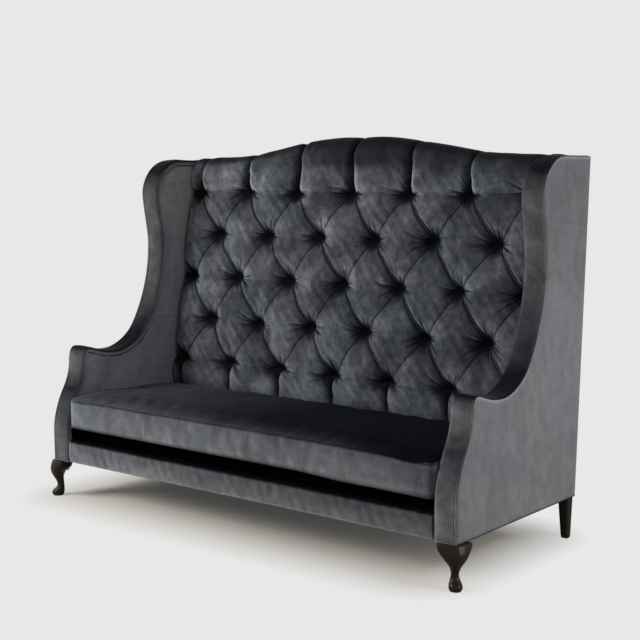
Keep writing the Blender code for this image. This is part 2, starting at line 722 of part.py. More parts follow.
def make_inside_back():
    """The buttoned pad: a grid whose columns and rows are thirds of the way from button to button."""
    places = pad_columns()
    last = len(places) // 2
    bm = bmesh.new()
    grid = [[bm.verts.new((x, spot.x, spot.y)) for spot in column_profile(x)] for x in places]
    first_row = 2
    last_row = first_row + 3 * (BUTTON_ROWS - 1)

    for index, (left, right) in enumerate(zip(grid[:-1], grid[1:])):
        column = index - last
        for row in range(len(left) - 1):
            quad = (left[row], right[row], right[row + 1], left[row + 1])
            if not first_row <= row < last_row:
                bm.faces.new(quad)
                continue
            # Each third of a diamond is split along its crease, which climbs to one side or the other.
            up = last_row - 1 - row
            if (column // 3 + up // 3) % 2:
                bm.faces.new((quad[0], quad[1], quad[2]))
                bm.faces.new((quad[0], quad[2], quad[3]))
            else:
                bm.faces.new((quad[0], quad[1], quad[3]))
                bm.faces.new((quad[1], quad[2], quad[3]))

    def back_face(z):
        return frame_face(z) - WEB_THICKNESS - 2 * FIT

    hook = []
    for x in places:
        under = crest_line(x) - CREST_PAD
        hook.append(bm.verts.new((x, back_face(under), under)))
    foot = [bm.verts.new((x, back_face(DECK_TOP + FIT), DECK_TOP + FIT)) for x in places]
    loops = ([column[-1] for column in grid], hook, foot, [column[0] for column in grid])
    for upper, lower in zip(loops[:-1], loops[1:]):
        for index in range(len(places) - 1):
            bm.faces.new((upper[index], upper[index + 1], lower[index + 1], lower[index]))
    for end in (0, -1):
        bm.faces.new(grid[end] + [hook[end], foot[end]])

    # Buttons: each crossing of the creases is opened to a small ring, which is domed.
    for row in range(BUTTON_ROWS):
        grid_row = last_row - 3 * row
        for index, column in enumerate(range(-last, last + 1)):
            if abs(places[index]) > places[-1] - 2 * BUTTON_RADIUS or (column + 3 * row) % 6:
                continue
            ring = bmesh.ops.bevel(
                bm, geom=[grid[index][grid_row]], offset=BUTTON_RADIUS, segments=1, affect="VERTICES"
            )
            head = max(ring["faces"], key=lambda face: len(face.verts))
            for corner in head.verts:
                corner.co.y = button_depth(corner.co.z)
            dome = bmesh.ops.poke(bm, faces=[head])
            dome["verts"][0].co.y -= BUTTON_DOME
    add_piece("inside_back", bm, VELVET, smooth_angle=60)


# Loose seat cushion
def make_cushion():
    """A box cushion: flat under, boxed sides drawn in between two welts, and a crowned top."""
    half = INNER_FACE - CUSHION_SIDE_GAP
    back = button_depth(DECK_TOP) - CUSHION_BACK_GAP
    depth = back - CUSHION_FRONT
    middle = (CUSHION_FRONT + back) / 2
    bottom = DECK_TOP + FIT
    xs = [half * (2 * index / CUSHION_COLUMNS - 1) for index in range(CUSHION_COLUMNS + 1)]
    ys = [depth * (index / CUSHION_ROWS - 0.5) for index in range(CUSHION_ROWS + 1)]
    rim = [(x, ys[0]) for x in xs] + [(xs[-1], y) for y in ys[1:]]
    rim += [(x, ys[-1]) for x in reversed(xs[:-1])] + [(xs[0], y) for y in reversed(ys[1:-1])]

    def edge_height(x):
        return CUSHION_EDGE + CUSHION_FRONT_CROWN * (1 - (x / half) ** 4)

    def drawn(x, y, inset):
        """A rim point moved in from the edges it lies on."""
        return x * (1 - inset / half), y * (1 - inset / (depth / 2))

    bm = bmesh.new()
    # Share of the edge height, and how far that level stands in from the rim.
    levels = (
        (0.0, CUSHION_ROUNDING),
        (0.05, 0.0),
        (0.13, BOXING_DRAW_IN),
        (0.5, BOXING_DRAW_IN / 2),
        (0.87, BOXING_DRAW_IN),
        (0.95, 0.0),
    )
    rings = []
    for share, inset in levels:
        ring = []
        for x, y in rim:
            spot = drawn(x, y, inset)
            ring.append(bm.verts.new((spot[0], middle + spot[1], bottom + edge_height(x) * share)))
        rings.append(ring)
    top = {}
    for x in xs:
        for y in ys:
            across, along = x / half, y / (depth / 2)
            on_rim = x in (xs[0], xs[-1]) or y in (ys[0], ys[-1])
            spot = drawn(x, y, CUSHION_ROUNDING) if on_rim else (x, y)
            crown = CUSHION_CROWN * (1 - across**4) * (1 - along**4)
            back_drop = CUSHION_FRONT_CROWN * 0.5 * smooth_step(along / 2 + 0.5)
            height = edge_height(x) + crown - back_drop * (1 - across**4)
            top[x, y] = bm.verts.new((spot[0], middle + spot[1], bottom + height))
    rings.append([top[spot] for spot in rim])
    for near, far in zip(rings[:-1], rings[1:]):
        for index in range(len(rim)):
            following = (index + 1) % len(rim)
            bm.faces.new((near[index], near[following], far[following], far[index]))
    bm.faces.new(rings[0])
    for x, x_after in zip(xs[:-1], xs[1:]):
        for y, y_after in zip(ys[:-1], ys[1:]):
            bm.faces.new((top[x, y], top[x_after, y], top[x_after, y_after], top[x, y_after]))
    add_piece("seat_cushion", bm, VELVET, origin=(0.0, middle, bottom), smooth_angle=50)


# Legs
def make_front_leg(label, side):
    """A cabriole leg lofted down the diagonal of its corner: block, knee, ankle and club foot."""
    corner = Vector((side * HALF, -ARM_BELLY, 0))
    out = Vector((side, -1, 0)).normalized()
    across = Vector((-out.y, out.x, 0))
    sides = 16
    bm = bmesh.new()
    rings = []
    for share, reach_out, reach_in, width, squareness in CABRIOLE:
        centre = corner + out * (reach_out - reach_in) / 2
        radii = ((reach_out + reach_in) / 2, width / 2)
        ring = []
        for index in range(sides):
            angle = 2 * math.pi * index / sides
            cos, sin = math.cos(angle), math.sin(angle)
            length = (abs(cos) ** squareness + abs(sin) ** squareness) ** (-1 / squareness)
            spot = centre + out * (radii[0] * cos * length) + across * (radii[1] * sin * length)
            ring.append(bm.verts.new((spot.x, spot.y, (BASE_HEIGHT - FIT) * share)))
        rings.append(ring)
    for near, far in zip(rings[:-1], rings[1:]):
        for index in range(sides):
            following = (index + 1) % sides
            bm.faces.new((near[index], near[following], far[following], far[index]))
    bm.faces.new(rings[0])
    bm.faces.new(rings[-1])
    return add_piece(f"front_leg_{label}", bm, DARK_WOOD, smooth_angle=50)


def make_back_leg(label, side):
    """A square leg whose outer front edge is plumb and whose other faces taper in to the foot."""
    outer = HALF - OUTSIDE_SKIN
    back = outside_back(BASE_HEIGHT) - OUTSIDE_SKIN
    front = back - BACK_LEG_TOP
    bm = bmesh.new()
    rings = []
    for height, size in ((0.0, BACK_LEG_FOOT), (BASE_HEIGHT - FIT, BACK_LEG_TOP)):
        corners = ((outer, front), (outer - size, front), (outer - size, front + size), (outer, front + size))
        rings.append([bm.verts.new((side * x, y, height)) for x, y in corners])
    for index in range(4):
        following = (index + 1) % 4
        bm.faces.new((rings[0][index], rings[0][following], rings[1][following], rings[1][index]))
    bm.faces.new(rings[0])
    bm.faces.new(rings[1])
    leg = add_piece(f"back_leg_{label}", bm, DARK_WOOD)
    rounding = leg.modifiers.new("edges", "BEVEL")
    rounding.width = BACK_LEG_EDGE
    rounding.segments = 1
    return leg


def add_rod(name, x, y, bottom, top, radius, look):
    bm = bmesh.new()
    bmesh.ops.create_cone(bm, cap_ends=True, segments=8, radius1=radius, radius2=radius, depth=top - bottom)
    bmesh.ops.translate(bm, verts=bm.verts, vec=(x, y, (top + bottom) / 2))
    return add_piece(name, bm, look)


def make_legs(dust_cover):
    """Four legs, each held by a hanger bolt that runs up through the dust cover into its post."""
    bottom = BASE_HEIGHT - BOLT_IN_LEG
    top = BASE_HEIGHT + BOLT_IN_POST
    behind = OUTSIDE_SKIN + BACK_LEG_TOP / 2
    spots = {
        "front": ((FRAME_FACE + SKIN_FACE) / 2, RAIL_FRONT + POST_DEPTH / 2),
        "back": (HALF - behind, outside_back(BASE_HEIGHT) - behind),
    }

    def make_side(label, side):
        legs = {"front": make_front_leg(label, side), "back": make_back_leg(label, side)}
        posts = {"front": f"arm_post_{label}", "back": f"back_post_{label}"}
        for end, (x, y) in spots.items():
            add_rod(f"leg_bolt_{end}_{label}", side * x, y, bottom, top, BOLT_RADIUS, SPRING_STEEL)
            bore_name = f"bolt_bore_{end}_{label}"
            bore = add_rod(bore_name, side * x, y, bottom - FIT, top + FIT, BOLT_HOLE_RADIUS, SPRING_STEEL)
            hide_helper(bore)
            for piece in (legs[end], bpy.data.objects[posts[end]], dust_cover):
                cut = piece.modifiers.new(bore.name, "BOOLEAN")
                cut.operation = "DIFFERENCE"
                cut.object = bore

    on_both_sides(make_side)


def centre_over_floor():
    """Carries every piece by one empty, so that the origin is on the floor under the middle."""
    depths = [
        (piece.matrix_world @ vertex.co).y
        for piece in bpy.data.objects
        if not piece.hide_render
        for vertex in piece.data.vertices
    ]
    carrier = bpy.data.objects.new("settee", None)
    bpy.context.scene.collection.objects.link(carrier)
    for piece in list(bpy.data.objects):
        if piece is not carrier:
            piece.parent = carrier
    carrier.location.y = -(min(depths) + max(depths)) / 2


def main():
    clear_scene()
    outline = wing_outline()
    make_seat_frame()
    make_side_frames(outline)
    make_back_frame()
    make_springs()
    make_side_covers(outline)
    make_front_border()
    make_outside_back()
    make_deck()
    dust_cover = make_dust_cover()
    make_inside_back()
    make_cushion()
    make_legs(dust_cover)
    bpy.context.view_layer.update()
    centre_over_floor()
    bpy.context.view_layer.update()


main()
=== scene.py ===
"""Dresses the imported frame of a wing-back settee: buttoned back, wings, loose cushion, legs and studio.

Metres, +Z up, front towards -Y. Forms are worked out with y = 0 at the front plane of the seat rail, as
in the part's source, and DEPTH_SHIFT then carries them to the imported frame.
"""

import json
import math
import random

import bmesh
import bpy
import numpy as np
from bpy.props import FloatProperty, FloatVectorProperty, PointerProperty
from mathutils import Matrix, Vector
from mathutils.geometry import delaunay_2d_cdt


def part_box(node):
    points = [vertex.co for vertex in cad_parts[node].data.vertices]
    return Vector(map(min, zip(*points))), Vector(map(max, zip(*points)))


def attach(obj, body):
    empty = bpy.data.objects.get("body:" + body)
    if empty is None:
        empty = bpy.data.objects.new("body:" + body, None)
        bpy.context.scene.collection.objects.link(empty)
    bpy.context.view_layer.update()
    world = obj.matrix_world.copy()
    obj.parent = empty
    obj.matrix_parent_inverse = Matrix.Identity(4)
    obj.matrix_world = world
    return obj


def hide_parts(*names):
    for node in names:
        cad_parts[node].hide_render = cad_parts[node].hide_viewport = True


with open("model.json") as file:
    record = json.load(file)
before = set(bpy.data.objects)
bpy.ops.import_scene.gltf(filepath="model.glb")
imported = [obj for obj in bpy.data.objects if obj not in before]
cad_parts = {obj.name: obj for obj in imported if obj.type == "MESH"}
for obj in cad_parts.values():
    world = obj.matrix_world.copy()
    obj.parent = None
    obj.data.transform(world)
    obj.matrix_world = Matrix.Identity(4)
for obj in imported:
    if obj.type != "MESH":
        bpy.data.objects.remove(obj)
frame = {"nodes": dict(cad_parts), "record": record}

bl_info = {
    "name": "Wing-back settee",
    "version": (1, 0, 0),
    "blender": (4, 5, 0),
    "location": "3D Viewport > Sidebar > Settee",
    "description": "Upholstery, legs and studio of a deep-buttoned wing-back settee on its packed frame",
    "category": "Object",
}

SETTEE = "settee_body"
LOOSE = "loose_cushion"
SIDES = (("left", -1), ("right", 1))

# Outer form, as in the part's source
HALF_WIDTH = 1.03
INNER_FACE = 0.93
SKIN_FACE = 1.0237
WING_HEIGHT = 1.438
BASE_HEIGHT = 0.156
BASE_DEPTH = 0.813
OUTSIDE_LEAN = 0.060
CREST_END_HEIGHT = 1.448
CREST_RISE = 0.079
CREST_SHOULDER = 0.78
CREST_SADDLE = 0.06
CREST_PAD = 0.030
CREST_ROLL = 0.085
ARM_BELLY = 0.008
FRAME_INSET = 0.0223
SEAM_SETBACK = 0.005

# Buttoned back
BUTTON_PITCH = 0.290
BUTTON_ROWS = 5
TOP_ROW = 1.293
BOTTOM_ROW = 0.537
ROW_SPACING = (TOP_ROW - BOTTOM_ROW) / (BUTTON_ROWS - 1)
TOP_BUTTON_DEPTH = 0.7912
INSIDE_LEAN = 0.171
PAD_BACKING = 0.0195
PIT_FLOOR = 0.009
PIT_REACH = 0.033
ROW_FOLD = 0.010
ROW_ROUND = 0.050
CHANNEL_ROUND = 0.036
GROOVE_DEPTH = 0.038
CREST_GROOVE = 0.020
PLEAT_ROUND = 0.0016
PLEAT_WIDTH = 0.024
SECOND_PLEAT = 0.0105
PLEAT_STEPS = 60
DECK_GAP = 0.0004

# Fans of small folds round a button: direction and spacing in degrees, count, length, share of the full depth
GATHERS = (
    (181, 9, 5, 0.115, 1.0),
    (-6, 12, 4, 0.095, 0.95),
    (90, 12, 5, 0.090, 0.5),
    (-90, 24, 2, 0.060, 0.35),
)

# Borders, panels and seams
BORDER_DEPTH = 0.0215
BORDER_ROLL = 0.0190
WING_PAD_BACK = 0.0190
WING_SEAM_INSET = 0.0085
WING_SEAM_RADIUS = 0.0010
FRONT_ROLL = 0.018
DECK_EDGE = 0.010
SHARP_ANGLE = math.radians(50)

# Loose cushion
CUSHION_EDGE = 0.112
CUSHION_FRONT_CROWN = 0.022
CUSHION_CROWN = 0.014
CUSHION_CORNER = 0.020
CUSHION_COLUMNS = 150
CUSHION_ROWS = 50
CUSHION_LEVELS = 12
SEAM_LEVEL = 9
SEAM_DROP = 0.014
FILLING_FRAMES = 20

# Staples of the dust cover
STAPLE_WIDTH = 0.010
STAPLE_WIRE = 0.0006
STAPLE_MARGIN = 0.012
STAPLES_ALONG = 46
STAPLES_ACROSS = 16

# Side outline: place, heading in degrees, handles before and after as shares of the way to the next knot
OUTLINE_KNOTS = (
    ((-0.008, 0.156), 90, 0.0, 0.31),
    ((-0.008, 0.285), 90, 0.31, 0.30),
    ((0.048, 0.462), 58, 0.32, 0.34),
    ((0.084, 0.575), 88, 0.34, 0.46),
    ((0.118, 0.641), 0, 0.30, 0.18),
    ((0.280, 0.611), 0, 0.55, 0.29),
    ((0.460, 0.710), 57, 0.37, 0.22),
    ((0.565, 1.060), 90, 0.41, 0.35),
    ((0.537, 1.290), 90, 0.30, 0.29),
    ((0.690, WING_HEIGHT), 0, 0.43, 0.30),
    ((0.88944, WING_HEIGHT), 0, 0.30, 0.0),
)

# Front leg: height as a share of the leg, reach out and in along the diagonal from the corner, width and
# squareness
CABRIOLE = (
    (1.00, 0.004, 0.080, 0.122, 1.35),
    (0.92, 0.009, 0.080, 0.120, 1.40),
    (0.80, 0.014, 0.074, 0.104, 1.60),
    (0.68, 0.013, 0.052, 0.078, 1.80),
    (0.56, 0.005, 0.042, 0.050, 2.00),
    (0.42, -0.008, 0.041, 0.031, 2.00),
    (0.31, -0.013, 0.042, 0.028, 2.00),
    (0.22, -0.007, 0.043, 0.036, 2.00),
    (0.14, 0.007, 0.043, 0.045, 2.00),
    (0.06, 0.010, 0.041, 0.047, 2.00),
    (0.00, 0.005, 0.037, 0.039, 2.00),
)

# Back leg
BACK_LEG_TAPER = 0.66
BACK_LEG_EDGE = 0.003
BACK_LEG_CHAMFER = 0.002

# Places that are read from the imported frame
REAR_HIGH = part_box("outside_back")[1]
DEPTH_SHIFT = REAR_HIGH.y - (BASE_DEPTH + OUTSIDE_LEAN * (REAR_HIGH.z - BASE_HEIGHT))
DECK_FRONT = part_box("seat_deck")[0].y - DEPTH_SHIFT
DECK_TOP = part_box("seat_deck")[1].z
LEG_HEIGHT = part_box("front_leg_left")[1].z

# Studio
CAMERA_PLACE = (3.232, -3.858, 1.391)
CAMERA_TURNS = (39.10, 6.79, -0.31)
SHADOW_REACH = 0.32
SHADOW_HALF = (0.86, 0.28, 0)
SHADOW_OFFSET = (0.05, 0.05, 0)
SHADOW_WARMTH = (1.0, 0.925, 0.80)
FLOOR_RINGS = (0.6, 1.2, 2.0, 3.0, 5.0, 9.0, 16.0)
FLOOR_SECTORS = 96


# Sizes and colours that a user would change
def length_value(name, description, default, low, high):
    return FloatProperty(
        name=name, description=description, default=default, min=low, max=high, unit="LENGTH"
    )


def colour_value(name, description, default):
    return FloatVectorProperty(
        name=name, description=description, default=default, min=0, max=1, subtype="COLOR"
    )


def plain_value(name, description, default, low=0):
    return FloatProperty(name=name, description=description, default=default, min=low)


class SetteeSizes(bpy.types.PropertyGroup):
    """Sizes of the upholstery's finer forms."""

    puff_height: length_value("Puff height", "Rise of the pad from a button", 0.050, 0.01, 0.06)
    puff_crown: length_value("Puff crown", "Further rise in the middle of a diamond", 0.004, 0, 0.03)
    pleat_depth: length_value("Pleat depth", "Depth of the folds between buttons", 0.0045, 0, 0.03)
    pleat_lap: length_value("Pleat lap", "How far a fold hangs over its pleat", 0.0022, 0, 0.01)
    gather_height: length_value("Gathers", "Depth of the small folds round a button", 0.0075, 0, 0.01)
    button_radius: length_value("Button radius", "Radius of a covered button", 0.012, 0.008, 0.02)
    welt_radius: length_value("Welt radius", "Radius of the cushion's piping", 0.0018, 0.001, 0.006)


class SetteeFinish(bpy.types.PropertyGroup):
    """Colours of the cloths and woods."""

    # The velvet is blended between these two colours by painted light and shade and by its random mottle
    velvet_light: colour_value(
        "Velvet, painted light", "Colour of the velvet at its palest, where light is painted on it", (0.300, 0.300, 0.314)
    )
    velvet_dark: colour_value(
        "Velvet, painted shade", "Colour of the velvet at its darkest, where shade is painted on it", (0.0035, 0.0040, 0.0060)
    )
    leg_wood: colour_value("Leg wood", "Stain of the legs", (0.014, 0.0098, 0.007))
    platform_cloth: colour_value(
        "Platform cloth", "Black cloth of the deck and the dust cover, painted darker still as the shade in the deck's recess", (0.0010, 0.0010, 0.0012)
    )
    frame_wood: colour_value("Frame wood", "Hardwood of the hidden frame", (0.55, 0.38, 0.22))


class SetteeStudio(bpy.types.PropertyGroup):
    """The plain studio round the settee."""

    backdrop: colour_value("Backdrop", "Colour of floor and backdrop", (0.807, 0.807, 0.807))
    key_power: plain_value("Key light", "Power of the light from the left", 190)
    side_power: plain_value("Side light", "Power of the light from the right", 52)
    world_light: plain_value("World light", "Even light from all round", 0.20)
    lens: plain_value("Lens", "Length of the camera's lens in millimetres", 71.03, 20)


# Curves that the forms share
def smooth_step(value):
    value = np.clip(value, 0.0, 1.0)
    return value * value * (3 - 2 * value)


def rise(value, start, over):
    """0 up to a start, 1 from a given way past it."""
    return smooth_step((value - start) / over)


def fall(value, end, over):
    """1 until a given way short of an end, 0 past it."""
    return smooth_step((end - value) / over)


def ridge(value, middle, width):
    """A smooth ridge, 1 in its middle."""
    return np.exp(-(((value - middle) / width) ** 2))


def quarter_turn(count, first=0):
    """Angles of a quarter turn in even steps."""
    return [math.pi / 2 * step / count for step in range(first, count + 1)]


def ripple(seed, size, *places):
    """Smooth seeded unevenness, about -1 to 1, with bumps of about a given size."""
    draw = random.Random(seed)
    total = 0.0
    waves = 7
    for _ in range(waves):
        direction = [draw.gauss(0, 1) for _ in places]
        scale = draw.uniform(0.6, 1.7) * math.pi / size / math.sqrt(sum(d * d for d in direction))
        phase = draw.uniform(0, 2 * math.pi)
        total = total + np.sin(sum(d * place for d, place in zip(direction, places)) * scale + phase)
    return total / math.sqrt(waves)


def uneven(waves, *places):
    """Slow and fine unevenness of a cloth; a wave is its height, seed and size."""
    return sum(height * ripple(seed, size, *places) for height, seed, size in waves)


def chance(first, second, seed):
    """A fixed number from 0 to 1 for each pleat."""
    return np.modf(np.abs(np.sin(first * 12.9898 + second * 78.233 + seed * 3.71) * 43758.5453))[0]


# Lines of the outer form
def outside_back(z):
    """Depth of the outside back."""
    return BASE_DEPTH + OUTSIDE_LEAN * (z - BASE_HEIGHT)


def button_depth(z):
    """Depth of the plane that the buttons are pulled down to."""
    return TOP_BUTTON_DEPTH + INSIDE_LEAN * (z - TOP_ROW)


def crest_line(x):
    """Height of the camel back across the settee."""
    return CREST_END_HEIGHT + CREST_RISE * fall(np.abs(x), CREST_SHOULDER, CREST_SHOULDER - CREST_SADDLE)


def wing_outline(steps):
    """Points along the front and top edge of a side, and unit normals towards its inside."""
    points = []
    knots = zip(OUTLINE_KNOTS[:-1], OUTLINE_KNOTS[1:])
    for (start, heading, _, after), (end, end_heading, before, _) in knots:
        start, end = np.array(start), np.array(end)
        reach = np.linalg.norm(end - start)
        leave, arrive = (
            np.array([math.cos(angle), math.sin(angle)])
            for angle in (math.radians(heading), math.radians(end_heading))
        )
        handles = (start, start + leave * reach * after, end - arrive * reach * before, end)
        for t in np.arange(steps) / steps:
            weights = ((1 - t) ** 3, 3 * (1 - t) ** 2 * t, 3 * (1 - t) * t * t, t**3)
            points.append(sum(handle * weight for handle, weight in zip(handles, weights)))
    points.append(np.array(OUTLINE_KNOTS[-1][0]))
    points = np.array(points)
    heading = np.gradient(points, axis=0)
    heading /= np.linalg.norm(heading, axis=1)[:, None]
    normals = np.stack([heading[:, 1], -heading[:, 0]], axis=1)
    normals[0], normals[-1] = (1.0, 0.0), (0.0, -1.0)
    return points, normals


# Meshes
def shifted(points):
    """Points carried from the form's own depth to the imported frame."""
    points = np.array(points, float)
    points[:, 1] += DEPTH_SHIFT
    return points


def depths(low, high):
    """Front and back of a CAD node's box in the form's own depth."""
    return low.y - DEPTH_SHIFT, high.y - DEPTH_SHIFT


def add_object(name, data):
    made = bpy.data.objects.new(name, data)
    bpy.context.scene.collection.objects.link(made)
    return made


def make_piece(name, mesh, material, smooth=True):
    """An object of a finished mesh at the origin, with one material."""
    if smooth:
        mesh.shade_smooth()
    mesh.materials.clear()
    mesh.materials.append(material)
    return add_object(name, mesh)


def make_part(name, bm):
    """An object of a small part that is then scattered."""
    mesh = bpy.data.meshes.new(name)
    bm.to_mesh(mesh)
    bm.free()
    return add_object(name, mesh)


def turn_out(mesh):
    bm = bmesh.new()
    bm.from_mesh(mesh)
    bmesh.ops.recalc_face_normals(bm, faces=bm.faces)
    bm.to_mesh(mesh)
    bm.free()


def mesh_from(name, points, faces):
    """A mesh of points in the form's own depth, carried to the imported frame, with its faces turned out."""
    mesh = bpy.data.meshes.new(name)
    mesh.from_pydata(shifted(points).tolist(), [], [tuple(face) for face in faces])
    turn_out(mesh)
    return mesh


def grid_faces(rows, columns, closed=False):
    """Quads of a grid whose points are numbered row by row."""
    faces = []
    for row in range(rows - 1):
        start, after = row * columns, (row + 1) * columns
        for column in range(columns if closed else columns - 1):
            following = (column + 1) % columns
            faces.append((start + column, start + following, after + following, after + column))
    return faces


def loft(name, rings, material):
    """A closed solid through rings of points, with flat ends."""
    rings = np.array(rings, float)
    count, around = rings.shape[:2]
    faces = grid_faces(count, around, closed=True)
    faces.append(tuple(range(around)))
    faces.append(tuple(range((count - 1) * around, count * around)))
    return make_piece(name, mesh_from(name, rings.reshape(-1, 3), faces), material)


def vertex_array(mesh, field="co"):
    values = np.empty(len(mesh.vertices) * 3, np.float32)
    mesh.vertices.foreach_get(field, values)
    return values.reshape(-1, 3).astype(float)


def move_points(mesh, points):
    mesh.vertices.foreach_set("co", points.astype(np.float32).ravel())
    mesh.update()


def plain_mesh(thing):
    """The object's mesh with its modifiers applied."""
    bpy.context.view_layer.update()
    graph = bpy.context.evaluated_depsgraph_get()
    return bpy.data.meshes.new_from_object(thing.evaluated_get(graph))


def apply_modifiers(piece):
    """Turns the piece's modifiers into plain mesh."""
    made = plain_mesh(piece)
    piece.modifiers.clear()
    old = piece.data
    made.name = old.name
    piece.data = made
    bpy.data.meshes.remove(old)


def subdivide(piece, levels=1):
    finer = piece.modifiers.new("finer", "SUBSURF")
    finer.levels = finer.render_levels = levels
    apply_modifiers(piece)


def paint_shading(piece, share=1.0, lean=0.0, sideways=0.0, floor=0.0, slope=0.80):
    """Keeps on the mesh a painted shading: painted shade on faces that look up or to the right."""
    mesh = piece.data
    mesh.update()
    normals = vertex_array(mesh, "normal")
    upward = normals[:, 2] - lean
    # Painted shade: the more a face looks up or to the right, the darker; faces that look well up are darker
    # still.
    nap = np.clip(0.60 - slope * upward - sideways * normals[:, 0], 0, 1.2)
    nap = np.maximum(nap * (1 - 0.92 * rise(upward, 0.30, 0.50)) * share, floor)
    layer = mesh.attributes.get("nap") or mesh.attributes.new("nap", "FLOAT", "POINT")
    layer.data.foreach_set("value", nap.astype(np.float32))


# Shader nodes
def feed(tree, target, inputs):
    """Sets a node's inputs, each to a value or to the socket that feeds it."""
    for key, value in inputs.items():
        if isinstance(value, bpy.types.NodeSocket):
            tree.links.new(value, target.inputs[key])
        else:
            target.inputs[key].default_value = value


def node(tree, kind, inputs=None, **settings):
    """A node with its settings and inputs."""
    made = tree.nodes.new(kind)
    for key, value in settings.items():
        setattr(made, key, value)
    feed(tree, made, inputs or {})
    return made


def flow(tree, kind, inputs=None, **settings):
    """The first output of a new node."""
    return node(tree, kind, inputs, **settings).outputs[0]


def new_material(name):
    """A material with its tree, its shader and the place on the object."""
    material = bpy.data.materials.new(name)
    material.use_nodes = True
    tree = material.node_tree
    return material, tree, tree.nodes["Principled BSDF"], node(tree, "ShaderNodeTexCoord").outputs["Object"]


def noise(tree, place, scale, detail=3.0, roughness=0.5, distortion=0.0, stretch=(1, 1, 1)):
    mapped = flow(tree, "ShaderNodeMapping", {"Vector": place, "Scale": stretch})
    values = {"Scale": scale, "Detail": detail, "Roughness": roughness, "Distortion": distortion}
    return node(tree, "ShaderNodeTexNoise", {"Vector": mapped, **values}).outputs["Fac"]


def level(tree, value, low, high, to_low=0.0, to_high=1.0):
    values = {"Value": value, "From Min": low, "From Max": high, "To Min": to_low, "To Max": to_high}
    return flow(tree, "ShaderNodeMapRange", values)


def calculate(tree, operation, first, second):
    return flow(tree, "ShaderNodeMath", {0: first, 1: second}, operation=operation)


def mix_colour(tree, share, first, second, blend="MIX"):
    inputs = {0: share, 6: first, 7: second}
    return node(tree, "ShaderNodeMix", inputs, data_type="RGBA", blend_type=blend).outputs[2]


def bump(tree, height, strength, distance, under=None):
    inputs = {"Height": height, "Strength": strength, "Distance": distance}
    if under is not None:
        inputs["Normal"] = under
    return flow(tree, "ShaderNodeBump", inputs)


def opaque(colour):
    return (*colour, 1.0)


def toned(colour, share):
    """A darker or lighter colour of the same hue."""
    return opaque(min(1.0, channel * share) for channel in colour)


def velvet(name, tone=1.0, mottled=1.0, shine=0.04, stroke=(46, 46, 9), cool=0.3):
    """Crushed velvet: mottled patches, short upright strokes and a fine pile, with painted light and shade: a
    painted sheen, the painted shading kept on the mesh and a brightness, tone, painted for each piece.
    """
    if name in bpy.data.materials:
        return bpy.data.materials[name]
    finish = bpy.context.scene.settee_finish
    material, tree, shader, place = new_material(name)
    patches = noise(tree, place, 7.5, detail=6.0, roughness=0.62, distortion=0.9)
    strokes = noise(tree, place, 1.0, detail=5.0, roughness=0.6, distortion=0.5, stretch=stroke)
    blotches = noise(tree, place, 27.0, detail=3.0, roughness=0.55, distortion=0.6)
    specks = noise(tree, place, 75.0, detail=3.0, roughness=0.6)
    pile = noise(tree, place, 900.0, detail=2.0)
    layers = (
        (patches, 0.36, 0.66, 0.31),
        (strokes, 0.3, 0.7, 0.15),
        (blotches, 0.35, 0.65, 0.16),
        (specks, 0.3, 0.7, 0.15),
    )
    mottle = 1.0
    for layer, low, high, change in layers:
        share = level(tree, layer, low, high, 1 - change * mottled, 1 + change * mottled)
        mottle = calculate(tree, "MULTIPLY", share, mottle)
    # Painted sheen: the colour is darker on faces seen face on and brighter on faces seen edge-on.
    edge_on = node(tree, "ShaderNodeLayerWeight", {"Blend": 0.5}).outputs["Facing"]
    mottle = calculate(tree, "MULTIPLY", mottle, level(tree, edge_on, 0.0, 1.0, 0.30, 2.70))
    painted_shade_share = node(tree, "ShaderNodeAttribute", attribute_name="nap").outputs["Fac"]
    # Painted light and shade: the mottle is scaled by the mesh's painted shading and by the piece's painted
    # tone.
    lit = calculate(tree, "MULTIPLY", calculate(tree, "MULTIPLY", mottle, painted_shade_share), tone)
    colour = mix_colour(tree, lit, opaque(finish.velvet_dark), opaque(finish.velvet_light))
    hue = noise(tree, place, 3.1, detail=2.0, distortion=0.4)
    bluish, warm = (
        (red - 0.05 * cool, green, blue + 0.06 * cool, 1)
        for red, green, blue in ((0.96, 1.00, 1.03), (1.02, 0.98, 1.01))
    )
    tint = mix_colour(tree, level(tree, hue, 0.4, 0.62), bluish, warm)
    relief = bump(tree, patches, 0.35, 0.006)
    relief = bump(tree, strokes, 0.3, 0.0015, relief)
    looks = {
        "Base Color": mix_colour(tree, 1.0, colour, tint, "MULTIPLY"),
        "Roughness": level(tree, patches, 0.3, 0.7, 0.92, 0.74),
        "Specular IOR Level": shine * 2,
        "Sheen Weight": shine,
        "Sheen Roughness": 0.38,
        "Sheen Tint": (0.80, 0.82, 0.86, 1),
        "Normal": bump(tree, pile, 0.35, 0.0004, relief),
    }
    feed(tree, shader, looks)
    return material


def grained_wood(name, colour, along, roughness, coat):
    """Straight-grained wood whose grain runs along one axis."""
    material, tree, shader, place = new_material(name)
    stretch = tuple(3.0 if axis == along else 45.0 for axis in range(3))
    grain = noise(tree, place, 1.0, detail=6.0, roughness=0.62, distortion=0.7, stretch=stretch)
    pores = noise(tree, place, 5.0, detail=2.0, stretch=stretch)
    dark, light = toned(colour, 0.45), toned(colour, 1.5)
    stained = mix_colour(tree, level(tree, grain, 0.32, 0.68), dark, light)
    looks = {
        "Base Color": mix_colour(tree, level(tree, pores, 0.60, 0.72, 0.0, 0.6), stained, dark),
        "Roughness": level(tree, grain, 0.3, 0.7, roughness + 0.08, roughness - 0.06),
        "Coat Weight": coat,
        "Coat Roughness": 0.16,
        "Specular IOR Level": 0.13,
        "Normal": bump(tree, pores, 0.2, 0.0003),
    }
    feed(tree, shader, looks)
    return material


